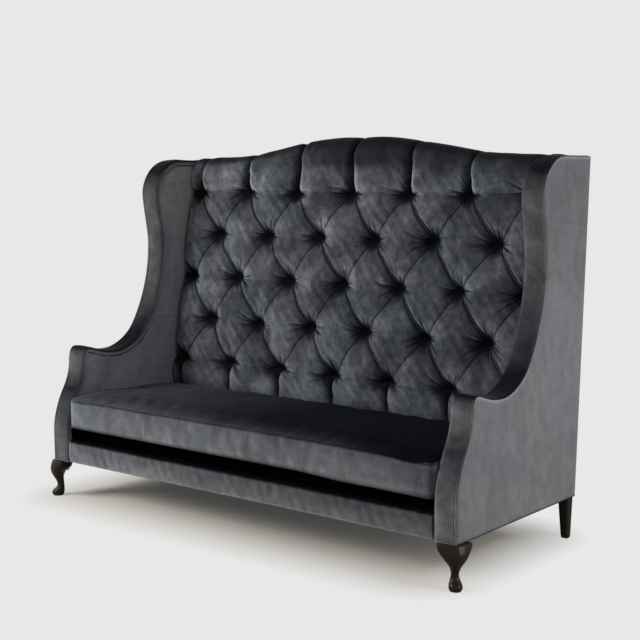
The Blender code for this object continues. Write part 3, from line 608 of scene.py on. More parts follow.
def woven_cloth(name, colour, thread):
    """Plain weave of two crossing threads."""
    material, tree, shader, place = new_material(name)
    wave = {"Vector": place, "Scale": 1 / thread / 3.2, "Distortion": 0.6, "Detail": 1.0}
    across, along = (
        node(tree, "ShaderNodeTexWave", wave, bands_direction=axis).outputs["Fac"] for axis in "XY"
    )
    weave = calculate(tree, "MULTIPLY", across, along)
    worn = level(tree, noise(tree, place, 14.0, detail=4.0), 0.3, 0.7, 0.6, 1.0)
    share = calculate(tree, "MULTIPLY", level(tree, weave, 0.0, 0.7, 0.35, 1.0), worn)
    looks = {
        "Base Color": mix_colour(tree, share, toned(colour, 0.5), toned(colour, 1.4)),
        "Roughness": 0.95,
        "Specular IOR Level": 0.0,
        "Normal": bump(tree, weave, 0.5, 0.0005),
    }
    feed(tree, shader, looks)
    return material


def drawn_steel(name):
    """Plain steel wire with marks of its drawing."""
    material, tree, shader, place = new_material(name)
    drawn = noise(tree, place, 1.0, detail=3.0, stretch=(30, 400, 400))
    dark, light = (0.30, 0.30, 0.31, 1), (0.52, 0.52, 0.53, 1)
    looks = {
        "Base Color": mix_colour(tree, level(tree, drawn, 0.3, 0.7), dark, light),
        "Roughness": level(tree, drawn, 0.3, 0.7, 0.45, 0.28),
        "Metallic": 1.0,
    }
    feed(tree, shader, looks)
    return material


# Geometry node trees
def new_tree(name, sizes):
    """A tree with a geometry in and out, and named sizes as inputs with their defaults."""
    tree = bpy.data.node_groups.new(name, "GeometryNodeTree")
    tree.interface.new_socket("Geometry", in_out="INPUT", socket_type="NodeSocketGeometry")
    for label, (kind, default) in sizes.items():
        socket = tree.interface.new_socket(label, in_out="INPUT", socket_type=kind)
        if default is not None:
            socket.default_value = default
    tree.interface.new_socket("Geometry", in_out="OUTPUT", socket_type="NodeSocketGeometry")
    return tree, node(tree, "NodeGroupInput").outputs


def end_tree(tree, shape, material):
    """Ends a tree in real copies with one material."""
    shape = flow(tree, "GeometryNodeRealizeInstances", {"Geometry": shape})
    shape = flow(tree, "GeometryNodeSetMaterial", {"Geometry": shape, "Material": material})
    node(tree, "NodeGroupOutput", {0: shape})
    return tree


def welt_tree():
    """Piping: a round cord along the edges of a helper mesh."""
    if "Welt" in bpy.data.node_groups:
        return bpy.data.node_groups["Welt"]
    sizes = {"Radius": ("NodeSocketFloat", 0.003), "Material": ("NodeSocketMaterial", None)}
    tree, given = new_tree("Welt", sizes)
    line = flow(tree, "GeometryNodeMeshToCurve", {"Mesh": given["Geometry"]})
    section = flow(tree, "GeometryNodeCurvePrimitiveCircle", {"Resolution": 10, "Radius": given["Radius"]})
    cord = flow(tree, "GeometryNodeCurveToMesh", {"Curve": line, "Profile Curve": section, "Fill Caps": True})
    cord = flow(tree, "GeometryNodeSetShadeSmooth", {"Geometry": cord})
    return end_tree(tree, cord, given["Material"])


def scatter_tree():
    """One copy of a part on each point of a helper mesh, turned to the point's own angles."""
    if "Scatter" in bpy.data.node_groups:
        return bpy.data.node_groups["Scatter"]
    sizes = {"Part": ("NodeSocketObject", None), "Material": ("NodeSocketMaterial", None)}
    tree, given = new_tree("Scatter", sizes)
    part = node(tree, "GeometryNodeObjectInfo", {"Object": given["Part"]}).outputs["Geometry"]
    turn = flow(tree, "GeometryNodeInputNamedAttribute", {"Name": "turn"}, data_type="FLOAT_VECTOR")
    copies = {"Points": given["Geometry"], "Instance": part, "Rotation": turn}
    return end_tree(tree, flow(tree, "GeometryNodeInstanceOnPoints", copies), given["Material"])


def run_tree(name, mesh, tree, values):
    """A piece made by a node tree from a helper mesh, as plain mesh."""
    helper = add_object(name + "_helper", mesh)
    modifier = helper.modifiers.new("tree", "NODES")
    modifier.node_group = tree
    for item in tree.interface.items_tree:
        if item.in_out == "INPUT" and item.name in values:
            modifier[item.identifier] = values[item.name]
    made = plain_mesh(helper)
    made.name = name
    bpy.data.objects.remove(helper)
    if not made.materials:
        made.materials.append(values["Material"])
    return add_object(name, made)


def make_welt(name, line, closed, radius, body):
    """Piping along a line, riding on a body."""
    edges = [(index, index + 1) for index in range(len(line) - 1)]
    if closed:
        edges.append((len(line) - 1, 0))
    mesh = bpy.data.meshes.new(name)
    mesh.from_pydata(shifted(line).tolist(), edges, [])
    # Painted shade: the piping is darker than the same velvet elsewhere, so that each seam reads as a dark
    # line.
    material = velvet("velvet_seam", 0.3, shine=0.01)
    piece = run_tree(name, mesh, welt_tree(), {"Radius": radius, "Material": material})
    turn_out(piece.data)
    piece.data.shade_smooth()
    paint_shading(piece)
    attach(piece, body)


def scatter(name, part, points, turns, material, body):
    """Copies of a part at points, each turned by its angles, riding on a body."""
    mesh = bpy.data.meshes.new(name)
    mesh.from_pydata(shifted(points).tolist(), [], [])
    layer = mesh.attributes.new("turn", "FLOAT_VECTOR", "POINT")
    layer.data.foreach_set("vector", np.array(turns, np.float32).ravel())
    piece = run_tree(name, mesh, scatter_tree(), {"Part": part, "Material": material})
    bpy.data.objects.remove(part)
    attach(piece, body)
    return piece


# Deep-buttoned back
def full_height(sizes):
    """Height of the pad over its buttons in the middle of a diamond."""
    return sizes.puff_height + sizes.puff_crown


def clustered(count, pull=0.68):
    """Places of equal count from one pleat to the next, drawn in towards both pleats."""
    t = np.arange(count) / count
    return t - pull * np.sin(2 * math.pi * t) / (2 * math.pi)


def shoulder(share):
    """Quarter-round from 0 to 1: steep at its start, level at its end."""
    return np.sqrt(np.maximum(1 - (1 - np.clip(share, 0, 1)) ** 2, 0))


def dimple(distance):
    """Share of its height that the pad has reached at a distance from a button."""
    return 1 - np.exp(-np.maximum(distance - PIT_FLOOR, 0) / PIT_REACH)


def diamonds(a, b, sizes):
    """Places, heights and folds of the pad; a and b count pleats to the lower and the upper right."""
    near_a, near_b = np.round(a), np.round(b)
    da, db = a - near_a, b - near_b
    x, z = BUTTON_PITCH * (a + b) / 2, TOP_ROW - ROW_SPACING * (a - b)
    distance = np.hypot(BUTTON_PITCH * (da + db) / 2, ROW_SPACING * (da - db))
    across = np.array([1 / BUTTON_PITCH, 1 / (2 * ROW_SPACING)])
    gap = 1 / np.linalg.norm(across)
    across *= gap
    beside_a, beside_b = da * gap, db * gap
    raised = dimple(distance)
    crown = np.sqrt(np.abs(np.sin(math.pi * a) * np.sin(math.pi * b)))
    height = sizes.puff_height + sizes.puff_crown * crown

    # A pleat that falls to the right is sharp and double; one that falls to the left is soft.
    pleat = (near_b, np.floor(a))
    steep = sizes.pleat_depth * (0.75 + 0.5 * chance(*pleat, 1))
    soft = sizes.pleat_depth * (0.35 + 0.35 * chance(near_a, np.floor(b), 2))
    near_button = 1 + 0.8 * np.exp(-distance / 0.05)
    sharp_fold, soft_fold = np.exp(-np.abs(beside_b) / 0.0034), np.exp(-np.abs(beside_a) / 0.0042)
    height -= near_button * (steep * sharp_fold + soft * soft_fold)
    height -= PLEAT_ROUND * (ridge(beside_b, 0, PLEAT_WIDTH) + 0.8 * ridge(beside_a, 0, PLEAT_WIDTH))
    rightward = rise(x, -0.25, 0.7)
    second = smooth_step(((a % 1) - 0.25 + 0.15 * rightward) / 0.35)
    second *= np.minimum((1.5 + 1.0 * rightward) * chance(*pleat, 3), 1)
    second *= ridge(beside_b, SECOND_PLEAT, 0.0028)
    height -= (0.0034 + 0.0012 * rightward) * second
    thick = 0.0050 + (0.0024 + 0.0022 * rightward) * chance(*pleat, 5)
    fold = 0.95 * ridge(beside_b, 0, thick) + 0.75 * ridge(beside_a, 0, 0.0042) + 0.8 * second

    def lap(side, reach):
        return sizes.pleat_lap * np.where(side, reach * np.exp(1 - reach), 0.0) * raised

    # The cloth above a pleat laps down over it.
    lap_a, lap_b = 0.6 * lap(da < 0, np.abs(beside_a) / 0.006), lap(db > 0, np.abs(beside_b) / 0.006)
    x = x + across[0] * (lap_a - lap_b)
    z = z - across[1] * (lap_a + lap_b)
    near = ridge(distance, 0, 0.05)
    for row, spread in ((TOP_ROW, 1.0), (BOTTOM_ROW, ridge(distance, 0, 0.08))):
        soft_row = 0.6 * spread * ridge(z, row, 0.020)
        height -= ROW_FOLD * (soft_row + 0.4 * near * np.exp(-np.abs(z - row) / 0.005))
    return x, z, height * raised, fold


def crest_profile(x, sizes):
    """Outermost line of a channel at x, from the top row over the crest: points, normals, groove depths."""
    crest = float(crest_line(x))
    full = full_height(sizes)
    roll_start = crest - CREST_ROLL
    line = []
    upright, turn, flat = 20, 14, 6
    for step in range(1, upright + 1):
        share = (step / upright) ** 1.35
        z = TOP_ROW + (roll_start - TOP_ROW) * share
        line.append(((button_depth(z) - full, z), (-1.0, 0.0), full * (1 - share) + GROOVE_DEPTH * share))
    centre = line[-1][0][0] + CREST_ROLL
    for step in range(1, turn + 1):
        angle = math.pi / 2 * step / turn
        cos, sin = math.cos(angle), math.sin(angle)
        groove = GROOVE_DEPTH + (CREST_GROOVE - GROOVE_DEPTH) * step / turn
        line.append(((centre - CREST_ROLL * cos, roll_start + CREST_ROLL * sin), (-cos, sin), groove))
    rear = outside_back(crest)
    for step in range(1, flat + 1):
        share = step / flat
        spot = (centre + (rear - 0.012 - centre) * share, crest - 0.002 * share * share)
        line.append((spot, (0.0, 1.0), CREST_GROOVE * (1 - 0.4 * share)))
    for drop, back in ((0.0045, 0.004), (0.012, 0.0), (0.020, 0.0)):
        line.append(((rear - back, crest - drop), (0.7, 0.7), 0.005))
    under = crest - CREST_PAD
    line.append(((outside_back(under), under), (1.0, 0.0), 0.0))
    return (np.array(values) for values in zip(*line))


def groove_share(place):
    """1 in a groove between two channels, 0 where the channel is full."""
    nearest = abs(place / BUTTON_PITCH - round(place / BUTTON_PITCH)) * BUTTON_PITCH
    body = 1 - abs(math.sin(math.pi * place / BUTTON_PITCH))
    return 0.82 * (1 - float(shoulder(nearest / CHANNEL_ROUND))) + 0.18 * body


def side_share(place):
    """Share of the pad's height that is left beside the wings."""
    return 1 - 0.50 * np.exp(-np.maximum(INNER_FACE - np.abs(place), 0) / 0.010)


class PadGrid:
    """Points and faces of the buttoned pad, gathered block by block."""

    def __init__(self):
        self.points = []
        self.faces = []
        self.folds = []

    def add(self, block, folds=None):
        start = len(self.points)
        self.points.extend(block)
        self.folds.extend([0.0] * len(block) if folds is None else folds)
        return list(range(start, len(self.points)))

    def bridge(self, first, second):
        """Joins two rows whose points stand in pairs."""
        for index in range(len(first) - 1):
            self.faces.append((first[index], first[index + 1], second[index + 1], second[index]))

    def zip_up(self, first, second):
        """Joins two rows whose points don't stand in pairs with one strip of triangles."""
        i = j = 0
        while i < len(first) - 1 or j < len(second) - 1:
            ahead = j == len(second) - 1
            if not ahead and i < len(first) - 1:
                ahead = self.points[first[i + 1]][0] <= self.points[second[j + 1]][0]
            if ahead:
                self.faces.append((first[i], first[i + 1], second[j]))
                i += 1
            else:
                self.faces.append((first[i], second[j + 1], second[j]))
                j += 1

    def extend(self, row, column_of):
        """Carries an edge of the pad on by a column of points at each of its points."""
        for points in zip(*[column_of(index) for index in row]):
            following = self.add(points)
            self.bridge(row, following)
            row = following
        return row


def diamond_lattice(grid, sizes, count):
    """The pad between the outer rows, meshed along its pleats; gives the point numbers on the outer rows."""
    steps = clustered(count)
    lines = np.concatenate([whole + steps for whole in range(-7, 7)])
    span = (BUTTON_ROWS - 1) * count
    reach = INNER_FACE / BUTTON_PITCH + 0.25
    k, l = np.meshgrid(np.arange(len(lines)), np.arange(len(lines)), indexing="ij")
    inside = (k - l >= 0) & (k - l <= span) & (np.abs(lines[k] + lines[l]) / 2 <= reach)
    number = np.full(k.shape, -1)
    number[inside] = np.arange(inside.sum())
    x, z, height, fold = diamonds(lines[k[inside]], lines[l[inside]], sizes)
    grid.add(np.stack([x, button_depth(z) - height * side_share(x), z], axis=1).tolist(), fold.tolist())

    near, right, far, up = number[:-1, :-1], number[1:, :-1], number[1:, 1:], number[:-1, 1:]
    ends = (near >= 0) & (far >= 0)
    offset = k[:-1, :-1] - l[:-1, :-1]
    for chosen, corners in (
        (ends & (right >= 0) & (up >= 0), (near, right, far, up)),
        (ends & (right >= 0) & (offset == 0), (near, right, far)),
        (ends & (up >= 0) & (offset == span), (near, far, up)),
    ):
        grid.faces += np.stack([corner[chosen] for corner in corners], axis=1).tolist()
    top = [(number[i, i], lines[i]) for i in range(len(lines)) if inside[i, i]]
    low = [(number[i + span, i], lines[i] + 2) for i in range(len(lines) - span) if inside[i + span, i]]
    return top, low


def make_back_mesh(sizes):
    """One mesh of the pad: a lattice along the pleats, and channels over the crest and behind the seat."""
    grid = PadGrid()
    top, low = diamond_lattice(grid, sizes, PLEAT_STEPS)
    place_of = {number: float(line) * BUTTON_PITCH for number, line in top + low}
    full = full_height(sizes)
    bottom = DECK_TOP + DECK_GAP

    def over_crest(index):
        place = place_of[index]
        line, normals, grooves = crest_profile(place, sizes)
        shares = np.linspace(0, 1, len(line) + 1)[1:]
        edge_drop = full * (1 - side_share(place)) * np.clip(1 - 1.6 * shares, 0.15, 1)
        row_drop = grid.points[index][1] - (button_depth(TOP_ROW) - full)
        open_share = shoulder((line[:, 1] - TOP_ROW) / ROW_ROUND) ** 1.3
        drop = row_drop * (1 - open_share) + (groove_share(place) * grooves + edge_drop) * open_share
        drop[-1] = 0.0
        return [(place, *spot) for spot in line - normals * drop[:, None]]

    def to_deck(index):
        place = place_of[index]
        row_height = button_depth(BOTTOM_ROW) - grid.points[index][1]
        channel = full * (1 - 0.50 * groove_share(place)) - full * (1 - side_share(place))
        rows = 24
        column = []
        for step in range(1, rows + 1):
            share = (step / rows) ** 1.3
            z = BOTTOM_ROW + (bottom - BOTTOM_ROW) * share
            open_share = float(shoulder((BOTTOM_ROW - z) / ROW_ROUND))
            height = row_height * (1 - open_share) + channel * open_share
            column.append((place, button_depth(z) - height * (1 - 0.85 * float(smooth_step(share))), z))
        return column

    def behind(row, height_of):
        places = [(grid.points[index][0], height_of(grid.points[index][0])) for index in row]
        return grid.add([(place, button_depth(z) + PAD_BACKING, z) for place, z in places])

    rear = grid.extend([number for number, _ in top], over_crest)
    foot = grid.extend([number for number, _ in low], to_deck)
    hook = behind(rear, lambda place: float(crest_line(place)) - CREST_PAD)
    sole = behind(foot, lambda place: bottom)
    grid.bridge(rear, hook)
    grid.bridge(foot, sole)
    grid.zip_up(hook, sole)
    return np.array(grid.points), grid.faces, np.array(grid.folds)


def button_spots(margin=0.0):
    """Places of the buttons across and up the back."""
    spots = []
    for row in range(BUTTON_ROWS):
        places = [(column + (row % 2) / 2) * BUTTON_PITCH for column in range(-4, 5)]
        spots += [(x, TOP_ROW - ROW_SPACING * row) for x in places if abs(x) < INNER_FACE - margin]
    return spots


def gather_cloth(points, folds, height):
    """Draws the cloth into small folds that fan out from each button, long and sharp to its sides."""
    front = points[:, 1] < outside_back(points[:, 2]) - 0.06
    draw = random.Random(21)
    for x, z in button_spots():
        dx, dz = points[:, 0] - x, points[:, 2] - z
        distance = np.hypot(dx, dz)
        near = np.nonzero(front & (distance < 0.15) & (distance > 0.006))[0]
        dx, dz, distance = dx[near], dz[near], distance[near]
        angle = np.arctan2(dz, dx)
        for middle, spread, count, length, share in GATHERS:
            for fold in range(count):
                aim = math.radians(middle + spread * (fold - (count - 1) / 2) + draw.uniform(-4, 4))
                bend = draw.uniform(-2.5, 2.5)
                reach = length * draw.uniform(0.6, 1.3)
                depth = height * share * draw.uniform(0.6, 1.25)
                turned = angle - aim - bend * distance
                shown = ridge(distance * np.sin(turned), 0, 0.0016 + 0.021 * distance) * (np.cos(turned) > 0)
                shown *= rise(distance, 0.010, 0.018) * (1 - rise(distance, reach * 0.35, reach * 0.65))
                points[near, 1] += depth * shown
                folds[near] = np.maximum(folds[near], min(1.0, 1.2 * depth / height) * shown)


def roughen_back(points):
    """Takes the regularity out of the pad: its puffs, pleats and channels wander a little."""
    x, y, z = points.T
    front = smooth_step((outside_back(z) - 0.045 - y) / 0.03)
    waves = (
        ((0.0030, 11, 0.15), (0.0010, 15, 0.05)),
        ((0.0026, 13, 0.09), (0.0009, 14, 0.03)),
        ((0.0030, 12, 0.17), (0.0010, 16, 0.05)),
    )
    return points + np.stack([uneven(pair, x, z) * front for pair in waves], axis=1)


def cut_sides(mesh, half):
    """Trims a mesh to two upright planes and closes it there."""
    bm = bmesh.new()
    bm.from_mesh(mesh)
    for side in (-1, 1):
        everything = list(bm.verts) + list(bm.edges) + list(bm.faces)
        plane = {"plane_co": (side * half, 0, 0), "plane_no": (side, 0, 0)}
        cut = bmesh.ops.bisect_plane(bm, geom=everything, clear_outer=True, **plane)["geom_cut"]
        bmesh.ops.contextual_create(bm, geom=[item for item in cut if isinstance(item, bmesh.types.BMEdge)])
    bmesh.ops.recalc_face_normals(bm, faces=bm.faces)
    bm.to_mesh(mesh)
    bm.free()


def back_painted_shading(mesh, full):
    """Painted shading of the back, and how near each point is to a button: painted shade in its pits, folds
    and sunk places and over the crest, painted light just above the top row and beside the left wing.
    """
    places = vertex_array(mesh)
    x, z = places[:, 0], places[:, 2]
    raised = button_depth(z) - (places[:, 1] - DEPTH_SHIFT)
    folds = np.empty(len(places), np.float32)
    mesh.attributes["fold"].data.foreach_get("value", folds)
    # Painted shade along the fold of the top row, and over the middle and right of the crest.
    folds = np.maximum(folds, 0.5 * ridge(z, TOP_ROW + 0.003, 0.004))
    painted_crest_shade = 0.80 * rise(z, 1.365, 0.06) * np.exp(-(((x - 0.04) / 0.46) ** 4))
    painted_crest_shade += 0.30 * rise(z, 1.34, 0.05) * rise(x, 0.36, 0.1)
    # Painted shade where the pad is sunk, varied at random; painted light just above the top row and beside
    # the left wing, and a little painted shade to the left.
    share = 0.02 + 0.98 * smooth_step((raised / full - 0.12) * 1.35)
    share *= (1 - painted_crest_shade) * (1 + 0.16 * ripple(111, 0.14, x, z))
    share *= 1 + 0.15 * rise(z, TOP_ROW + 0.006, 0.012) * (1 - rise(z, TOP_ROW + 0.050, 0.045))
    share *= (1 + 0.40 * fall(x, -0.83, 0.06)) * (1 - 0.10 * fall(x, -0.15, 0.3))

    # Painted shade in each button's pit, reaching further to its left, and in the folds.
    pits, nearest = np.zeros(len(places)), np.full(len(places), 1.0)
    for spot_x, spot_z in button_spots():
        left, down = x - spot_x + 0.010, z - spot_z + 0.003
        larger = 1.5 if spot_z < BOTTOM_ROW + 0.01 else 1.0
        wide = np.where(left < 0, 0.036 * larger, 0.018)
        pits = np.maximum(pits, np.exp(-((np.hypot(left / wide, down / (0.023 * larger))) ** 3)))
        nearest = np.minimum(nearest, np.hypot(x - spot_x, z - spot_z))
    share *= (1 - 0.97 * pits) * (1 - 0.88 * np.clip(folds, 0, 1))

    # Painted light on the first channels at the left of the crest and beside the left wing; below them,
    # painted shade on faces towards the light.
    crest_left = rise(z, TOP_ROW + 0.02, 0.03) * fall(x, -0.25, 0.2)
    share += crest_left * (0.50 - 0.45 * share - 0.28 * painted_crest_shade) * 0.55
    share *= 1 + 0.9 * rise(z, TOP_ROW + 0.035, 0.02) * fall(x, -0.862, 0.01)
    toward_light = np.where(z < TOP_ROW, fall(vertex_array(mesh, "normal")[:, 0], -0.12, 0.45), 0)
    return share * (1 - 0.42 * toward_light), nearest


class SETTEE_OT_back(bpy.types.Operator):
    """Makes the deep-buttoned inside back"""

    bl_idname = "settee.back"
    bl_label = "Buttoned back"

    def execute(self, context):
        sizes = context.scene.settee_sizes
        points, faces, folds = make_back_mesh(sizes)
        gather_cloth(points, folds, sizes.gather_height)
        mesh = bpy.data.meshes.new("buttoned_back")
        mesh.from_pydata(shifted(roughen_back(points)).tolist(), [], [tuple(face) for face in faces])
        mesh.attributes.new("fold", "FLOAT", "POINT").data.foreach_set("value", folds.astype(np.float32))
        cut_sides(mesh, INNER_FACE - 0.0004)
        material = velvet("velvet_back", 0.59, mottled=1.2, stroke=(46, 3, 9), cool=1.0)
        piece = make_piece("buttoned_back", mesh, material)
        share, nearest = back_painted_shading(mesh, full_height(sizes))
        # Painted shading: darker on faces that look up and, near the buttons, on faces that look to the
        # right.
        paint_shading(piece, share, lean=0.17, sideways=-0.15 + 0.90 * ridge(nearest, 0, 0.07))
        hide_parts("inside_back")
        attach(piece, SETTEE)
        return {"FINISHED"}


def covered_button(radius):
    """A domed button whose cloth is pinched to its rim, facing +Z."""
    bm = bmesh.new()
    around = 20
    angles = [2 * math.pi * index / around for index in range(around)]
    rows = ((1.0, -0.35), (1.03, 0.0), (0.96, 0.22), (0.74, 0.42), (0.42, 0.55), (0.16, 0.60))
    rings = []
    for row, (reach, lift) in enumerate(rows):
        pinches = [0.03 * math.cos(angle * 10) if row < 3 else 0.0 for angle in angles]
        places = [(reach + pinch) * radius for pinch in pinches]
        rings.append(
            [
                bm.verts.new((place * math.cos(angle), place * math.sin(angle), lift * radius))
                for place, angle in zip(places, angles)
            ]
        )
    for first, second in zip(rings[:-1], rings[1:]):
        for index in range(around):
            following = (index + 1) % around
            bm.faces.new((first[index], first[following], second[following], second[index]))
    bm.faces.new(rings[0])
    bm.faces.new(rings[-1])
    bmesh.ops.recalc_face_normals(bm, faces=bm.faces)
    part = make_part("covered_button", bm)
    part.data.shade_smooth()
    return part


class SETTEE_OT_buttons(bpy.types.Operator):
    """Sets the covered buttons into the back"""

    bl_idname = "settee.buttons"
    bl_label = "Buttons"

    def execute(self, context):
        radius = context.scene.settee_sizes.button_radius
        places = np.array([(x, button_depth(z) + 0.003, z) for x, z in button_spots(1.6 * radius)])
        turns = [(math.pi / 2 + math.atan(INSIDE_LEAN), 0.0, 0.0)] * len(places)
        # Painted shade: the buttons are made nearly black, as if lost in the shade of their pits.
        material = velvet("velvet_button", 0.3, shine=0.0)
        piece = scatter("back_buttons", covered_button(radius), roughen_back(places), turns, material, SETTEE)
        paint_shading(piece, 0.02)
        return {"FINISHED"}


# Wings and arms
def border_section():
    """Section of a border: share across from the inner to the outer side, and drop below the outline."""
    section = [(0.0, BORDER_DEPTH)]
    for angle in quarter_turn(7):
        section.append((0.20 * (1 - math.cos(angle)), 0.0010 + BORDER_ROLL * (1 - math.sin(angle))))
    section += [(0.30, 0.0005), (0.42, 0.0), (0.56, 0.0), (0.70, 0.0003), (0.82, 0.0008)]
    for angle in quarter_turn(6, 1):
        section.append((0.90 + 0.142 * math.sin(angle), 0.0012 + 0.0034 * (1 - math.cos(angle))))
    return section + [(1.0, 0.0050), (1.0, BORDER_DEPTH)]


def bend_radius(line, normals):
    """Radius of each bend towards the inside, where a deep section would fold over itself."""
    turning, cross = np.zeros(len(line)), np.zeros(len(line))
    turning[1:-1] = np.arccos(np.clip((normals[:-2] * normals[2:]).sum(axis=1), -1, 1))
    cross[1:-1] = normals[:-2, 0] * normals[2:, 1] - normals[:-2, 1] * normals[2:, 0]
    lengths = np.linalg.norm(np.gradient(line, axis=0), axis=1) * 2
    return np.where(cross < 0, lengths / np.maximum(turning, 1e-4), 1.0)


def border_rings(side, line, normals):
    """Sections of a border along the outline, with puckers over its face."""
    inner, outer = INNER_FACE + 0.0018, SKIN_FACE - 0.0006
    section = border_section()
    waves = ((0.0010, 31 + side, 0.045), (0.0016, 35 + side, 0.16))
    along = np.concatenate([[0], np.cumsum(np.linalg.norm(np.diff(line, axis=0), axis=1))])
    rings = []
    for point, normal, place, radius in zip(line, normals, along, bend_radius(line, normals)):
        deepest = max(0.004, radius * 0.8)
        ring = []
        for share, drop in section:
            pucker = uneven(waves, place, share * 0.09) * math.sin(math.pi * share)
            y, z = point + normal * min(drop + pucker if drop < 0.02 else drop, deepest)
            ring.append((side * (inner + (outer - inner) * share), y, z))
        rings.append(ring)
    return rings


def left_border_painted_shading(places, facing):
    """Painted shading of the left border: painted light on its inner side and below its upper end, painted
    shade on its top faces, its upper end and low down.
    """
    height = places[:, 2]
    share = 0.60 * (1 + 0.24 * fall(height, 1.15, 0.2) - 0.08 * rise(height, 1.2, 0.1))
    share *= 1 - 0.14 * fall(height, 0.60, 0.1)
    return share * (1 + 2.3 * rise(facing[:, 0], 0.05, 0.8)) * (1 - 0.6 * rise(facing[:, 2], 0.45, 0.3))


def right_border_painted_shading(places, facing):
    """Painted shading of the right border: painted light and shade in bands up its height, painted light at
    its outer edge and painted shade on its inner side.
    """
    height = places[:, 2]
    share = 1.10 * (1 + 0.36 * fall(height, 0.68, 0.04) - 0.06 * fall(height, 0.50, 0.06))
    bands = ((1.0, 0.12, 0.08), (0.545, 0.05, 0.12), (0.447, 0.045, 0.26), (0.35, 0.06, -0.08))
    for middle, reach, more in bands:
        share *= 1 + more * ridge(height, middle, reach)
    share *= 1 + 0.75 * rise(places[:, 0], 1.0155, 0.003)
    return share * (1 - 0.60 * fall(facing[:, 0], -0.15, 0.5))


class SETTEE_OT_borders(bpy.types.Operator):
    """Makes the padded borders round the arms and wings"""

    bl_idname = "settee.borders"
    bl_label = "Wing borders"

    def execute(self, context):
        line, normals = wing_outline(22)
        for label, side in SIDES:
            material = velvet("velvet_border", 0.72, mottled=0.7)
            piece = loft(f"padded_border_{label}", border_rings(side, line, normals), material)
            piece.data.update()
            # Each border gets the painted shading of its own side.
            painted_shading_of = left_border_painted_shading if side < 0 else right_border_painted_shading
            paint_shading(piece, share=painted_shading_of(vertex_array(piece.data), vertex_array(piece.data, "normal")))
            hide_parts(f"wing_border_{label}")
            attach(piece, SETTEE)
            seam = [(side * (SKIN_FACE - WING_SEAM_INSET), y, z) for y, z in line + normals * 0.0012]
            make_welt(f"wing_welt_{label}", seam, False, WING_SEAM_RADIUS, SETTEE)
        return {"FINISHED"}


def fill_outline(outline, spacing):
    """Even triangles inside a closed outline of 2-D points, and each point's distance from its edge."""
    outline = np.array(outline)
    closed = np.vstack([outline, outline[:1]])
    edge = []
    for start, end in zip(closed[:-1], closed[1:]):
        pieces = max(1, round(np.linalg.norm(end - start) / spacing))
        edge += [start + (end - start) * step / pieces for step in range(pieces)]
    edge = np.array(edge)

    low, high = outline.min(axis=0), outline.max(axis=0)
    rows = []
    for index, v in enumerate(np.arange(low[1], high[1], spacing * math.sqrt(3) / 2)):
        u = np.arange(low[0], high[0], spacing) + (spacing / 2 if index % 2 else 0.0)
        rows.append(np.stack([u, np.full(len(u), v)], axis=1))
    cloud = np.vstack(rows)
    crossings = np.zeros(len(cloud), int)
    nearest = np.full(len(cloud), np.inf)
    for start, end in zip(edge, np.roll(edge, -1, axis=0)):
        straddles = (start[1] > cloud[:, 1]) != (end[1] > cloud[:, 1])
        if start[1] != end[1]:
            reach = start[0] + (cloud[:, 1] - start[1]) / (end[1] - start[1]) * (end[0] - start[0])
            crossings += straddles & (cloud[:, 0] < reach)
        along = end - start
        share = np.clip(((cloud - start) @ along) / (along @ along), 0, 1)
        nearest = np.minimum(nearest, np.linalg.norm(cloud - start - share[:, None] * along, axis=1))
    kept = (crossings % 2 == 1) & (nearest > spacing * 0.55)
    everything = np.vstack([edge, cloud[kept]])
    ring = [(index, (index + 1) % len(edge)) for index in range(len(edge))]
    found = delaunay_2d_cdt([Vector(spot) for spot in everything], ring, [], 1, 1e-7)
    spots = np.array([tuple(spot) for spot in found[0]])
    triangles = [tuple(face) for face in found[2]]
    distances = np.zeros(len(spots))
    distances[len(edge) : len(edge) + kept.sum()] = nearest[kept]
    return spots, triangles, distances, len(edge)


def make_panel(name, outline, spacing, place, material):
    """A padded panel; place(spots, distances, face) gives the points of its shown face, 0, or its back, 1."""
    spots, triangles, distances, rim = fill_outline(outline, spacing)
    count = len(spots)
    points = np.vstack([place(spots, distances, face) for face in (0, 1)])
    faces = triangles + [tuple(index + count for index in reversed(face)) for face in triangles]
    faces += [(index, (index + 1) % rim, (index + 1) % rim + count, index + count) for index in range(rim)]
    piece = make_piece(name, mesh_from(name, points, faces), material)
    piece.data.set_sharp_from_angle(angle=SHARP_ANGLE)
    return piece


def inset(line, normals, distance):
    """The line moved inwards, without the points that a tight bend would fold over."""
    moved = line + normals * distance
    gaps = np.linalg.norm(moved[:, None, :] - line[None, :, :], axis=2).min(axis=1)
    return moved[gaps > distance * 0.985]


